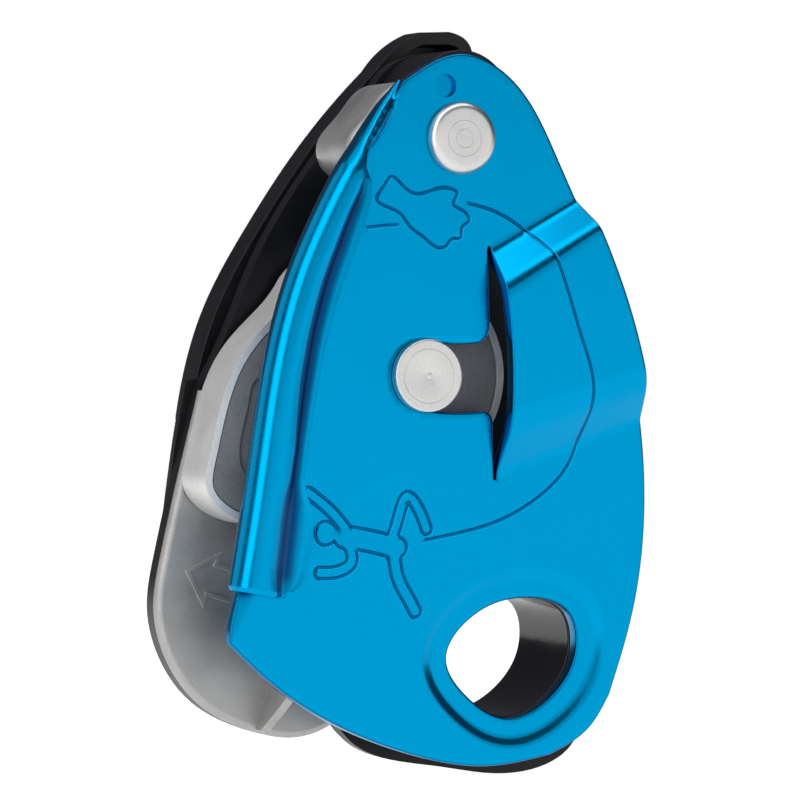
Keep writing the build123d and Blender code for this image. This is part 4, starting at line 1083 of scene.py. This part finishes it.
def socket_screw(head, thick, shank, length, key):
    """A low-head screw with a six-sided socket, facing +Y, its face at the origin."""
    sides = 48
    points, faces = [], []

    def ring(radius, y, flats=False):
        start = len(points)
        for i in range(sides):
            a = 2 * math.pi * i / sides
            r = radius
            if flats:
                r = radius / math.cos((a % (math.pi / 3)) - math.pi / 6)
            points.append((r * math.cos(a), y, r * math.sin(a)))
        return start

    rows = [ring(key, -thick * 0.7, True), ring(key, -0.05, True), ring(key + 0.12, 0.0, True),
            ring(head - 0.25, 0.0), ring(head - 0.07, -0.07), ring(head, -0.25), ring(head, -thick),
            ring(shank, -thick), ring(shank, -length)]
    for one, two in zip(rows, rows[1:]):
        faces += [(one + i, one + (i + 1) % sides, two + (i + 1) % sides, two + i) for i in range(sides)]
    faces.append(tuple(rows[0] + i for i in range(sides)))
    faces.append(tuple(rows[-1] + i for i in range(sides)))
    return points, faces


def rivet_shape(radius, front, back):
    """A flush rivet or pin with slightly domed ends, about the origin."""
    dome = 0.06
    profile = [(0.0, front - dome), (radius * 0.6, front - dome * 0.6), (radius - 0.1, front),
               (radius, front + 0.1), (radius, back - 0.1), (radius - 0.1, back),
               (radius * 0.6, back + dome * 0.6), (0.0, back + dome)]
    return turned((0.0, 0.0), profile, 40)


class BELAY_OT_fasteners(bpy.types.Operator):
    """Adds the cover screws, the flush rivets and the pins of the anvil"""

    bl_idname = "belay.fasteners"
    bl_label = "Screws, rivets and pins"

    def execute(self, context):
        colours = context.scene.belay_colours
        small = plated_steel(colours)
        tree = fastener_tree()
        screw_length = COVER_BACK - FIXED_FRONT
        fasteners("cover_socket_screws", COVER_SCREWS, COVER_BACK,
                  socket_screw(2.1, 0.9, 1.1, screw_length, 1.0), small, "cover_screws", "frame", tree)
        fasteners("flush_wear_rivets", WEAR_RIVETS, 0.0,
                  rivet_shape(FASTENER_RADIUS, depth("wear_plate_rivets", 0), FIXED_BACK),
                  blasted_steel(colours), "wear_plate_rivets", "frame", tree)
        fasteners("anvil_dowels", ANVIL_PINS, 0.0,
                  rivet_shape(FASTENER_RADIUS, depth("anvil_pins", 0), FIXED_BACK), small, "anvil_pins", "frame",
                  tree)
        low, high = (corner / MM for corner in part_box("handle_rivets"))
        lean = low.x + FASTENER_RADIUS, high.z - FASTENER_RADIUS
        foot = high.x - FASTENER_RADIUS, low.z + FASTENER_RADIUS
        fasteners("arm_rivets", [foot, lean], 0.0, rivet_shape(FASTENER_RADIUS, low.y, high.y), small,
                  "handle_rivets", "handle", tree)
        return {"FINISHED"}


def round_axle(radius, y, angle):
    """A point at a radius from the axle, an angle in degrees."""
    return AXLE.x + radius * math.cos(math.radians(angle)), y, AXLE.z + radius * math.sin(math.radians(angle))


def torsion_path(start, front, legs):
    """The middle line of a torsion spring: a leg, the coil clockwise from the front, and a leg."""
    end = start - 360.0 * COIL_TURNS
    count = int(COIL_TURNS * 40)
    path = [round_axle(*legs[0], start)]
    for i in range(count + 1):
        share = i / count
        y = front + COIL_PITCH * COIL_TURNS * share
        path.append(round_axle(COIL_RADIUS, y, start + (end - start) * share))
    return path + [round_axle(*legs[1], end)]


class BELAY_OT_springs(bpy.types.Operator):
    """Adds the two torsion springs round the axle"""

    bl_idname = "belay.springs"
    bl_label = "Springs"

    def execute(self, context):
        wire = spring_wire(context.scene.belay_colours)
        tree, sockets = wire_tree()
        rise = COIL_PITCH * COIL_TURNS
        for name, node, start in (("cam_torsion_spring", "cam_return_spring", 120.0),
                                  ("handle_torsion_spring", "handle_return_spring", 340.4)):
            low, high = (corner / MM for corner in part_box(node))
            if node == "cam_return_spring":         # its legs run along Y, into the cam and the fixed plate
                front = low.y + CAM_COIL_IN
                legs = ((COIL_RADIUS, low.y), (COIL_RADIUS, high.y))
            else:                                   # its legs stand out from the coil
                front = low.y + WIRE_RADIUS
                legs = ((COIL_RADIUS + HANDLE_LEG, front), (COIL_RADIUS + HANDLE_LEG, front + rise))
            path = torsion_path(start, front, legs)
            curve = bpy.data.curves.new(name + "_path", "CURVE")
            curve.dimensions = "3D"
            run = curve.splines.new("POLY")
            run.points.add(len(path) - 1)
            for point, place in zip(run.points, path):
                point.co = (*(Vector(place) * MM), 1.0)
            base = bpy.data.objects.new(name + "_path", curve)
            context.scene.collection.objects.link(base)
            mesh = evaluated(base, tree, sockets,
                             {"Wire radius": WIRE_RADIUS * MM, "Sides": 16, "Material": wire}, name)
            piece = new_piece(name, mesh, None, wire, node)
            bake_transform(piece)
        return {"FINISHED"}


class BELAY_OT_handle(bpy.types.Operator):
    """Adds the black handle with its arm and bush"""

    bl_idname = "belay.handle"
    bl_label = "Handle"

    def execute(self, context):
        colours = context.scene.belay_colours
        soften_all(
            context,
            ("handle_shell", "moulded_handle", "handle", moulded_nylon(colours), 1.5),
            ("handle_arm", "pressed_arm", "handle", plated_steel(colours), 0.7),
            ("handle_bush", "bronze_handle_bush", "handle", bearing_bronze(colours), 0.5))
        return {"FINISHED"}


# ---- stage --------------------------------------------------------------------------------------


def direction(azimuth, elevation):
    """The unit vector towards a place seen from the object, angles in degrees, azimuth 0 in front."""
    a, e = math.radians(azimuth), math.radians(elevation)
    return Vector((math.sin(a) * math.cos(e), -math.cos(a) * math.cos(e), math.sin(e)))


def softbox(name, azimuth, elevation, reach, width, height, radiance):
    """A rectangular light that faces the object, brightness as a share of white."""
    light = bpy.data.lights.new(name, "AREA")
    light.shape = "RECTANGLE"
    light.size = width
    light.size_y = height
    light.energy = radiance * math.pi * width * height
    lamp = bpy.data.objects.new(name, light)
    away = direction(azimuth, elevation)
    lamp.location = Vector(LIT_POINT) + away * reach
    lamp.rotation_euler = away.to_track_quat("Z", "Y").to_euler()
    lamp.visible_camera = False
    bpy.context.scene.collection.objects.link(lamp)


class BELAY_OT_stage(bpy.types.Operator):
    """Adds the floor, the studio light and the camera"""

    bl_idname = "belay.stage"
    bl_label = "Floor, light and camera"

    def execute(self, context):
        scene = context.scene
        low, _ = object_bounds()
        mesh = bpy.data.meshes.new("studio_floor")
        corners = ((-FLOOR_HALF, -FLOOR_HALF), (FLOOR_HALF, -FLOOR_HALF), (FLOOR_HALF, FLOOR_HALF),
                   (-FLOOR_HALF, FLOOR_HALF))
        mesh.from_pydata([(x, y, low.z) for x, y in corners], [], [(0, 1, 2, 3)])
        floor = bpy.data.objects.new("studio_floor", mesh)
        scene.collection.objects.link(floor)
        mesh.materials.append(floor_material(scene.belay_colours))
        floor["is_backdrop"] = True

        for light in LIGHTS:
            softbox(*light)

        world = bpy.data.worlds.new("studio")
        scene.world = world
        world.use_nodes = True
        tree = world.node_tree
        tree.nodes.clear()
        path = add(tree, "ShaderNodeLightPath")
        dim = add(tree, "ShaderNodeBackground", {"Color": (0.8, 0.8, 1.0, 1.0), "Strength": 0.1})
        seen = add(tree, "ShaderNodeBackground", {"Color": (1.0, 1.0, 1.0, 1.0), "Strength": 1.0})
        both = add(tree, "ShaderNodeMixShader", {0: path.outputs["Is Camera Ray"], 1: dim.outputs[0],
                                                 2: seen.outputs[0]})
        add(tree, "ShaderNodeOutputWorld", {"Surface": both.outputs[0]})
        scene.view_settings.view_transform = "Standard"

        data = bpy.data.cameras.new("camera")
        data.lens = LENS
        data.sensor_width = SENSOR
        camera = bpy.data.objects.new("camera", data)
        back = direction(VIEW_AZIMUTH, VIEW_ELEVATION)
        camera.location = Vector(VIEW_POINT) * MM + back * VIEW_DISTANCE
        camera.rotation_euler = back.to_track_quat("Z", "Y").to_euler()
        scene.collection.objects.link(camera)
        scene.camera = camera
        return {"FINISHED"}


def floor_material(colours):
    """A matt white table lit through from below, so that it stays pale."""
    return surface("matt_acrylic_floor", colours.floor, 0.98, 1.0, 1.2, 0.002, (0.8, 0.9),
                   **{"Emission Color": (1.0, 1.0, 1.0, 1.0), "Emission Strength": 0.96})[0]


# ---- add-on -------------------------------------------------------------------------------------

STEPS = (BELAY_OT_body, BELAY_OT_wear_plate, BELAY_OT_cam, BELAY_OT_heads, BELAY_OT_fasteners, BELAY_OT_springs,
         BELAY_OT_handle, BELAY_OT_moving_plate, BELAY_OT_stage)


class BELAY_PT_panel(bpy.types.Panel):
    """Lists the sizes, the colours and the pieces"""

    bl_idname = "BELAY_PT_panel"
    bl_label = "Belay device"
    bl_space_type = "VIEW_3D"
    bl_region_type = "UI"
    bl_category = "Belay device"

    def draw(self, context):
        for group in (context.scene.belay_sizes, context.scene.belay_colours):
            for name in group.__annotations__:
                self.layout.prop(group, name)
        for step in STEPS:
            self.layout.operator(step.bl_idname)


CLASSES = (BelaySizes, BelayColours, *STEPS, BELAY_PT_panel)


def register():
    """Makes the add-on's classes and its settings on the scene."""
    for cls in CLASSES:
        bpy.utils.register_class(cls)
    bpy.types.Scene.belay_sizes = bpy.props.PointerProperty(type=BelaySizes)
    bpy.types.Scene.belay_colours = bpy.props.PointerProperty(type=BelayColours)


def unregister():
    """Takes the add-on's classes and settings away."""
    del bpy.types.Scene.belay_colours
    del bpy.types.Scene.belay_sizes
    for cls in reversed(CLASSES):
        bpy.utils.unregister_class(cls)


def main():
    """Builds every piece and the stage."""
    register()
    for step in STEPS:
        group, name = step.bl_idname.split(".")
        getattr(getattr(bpy.ops, group), name)()


if __name__ == "__main__":
    main()
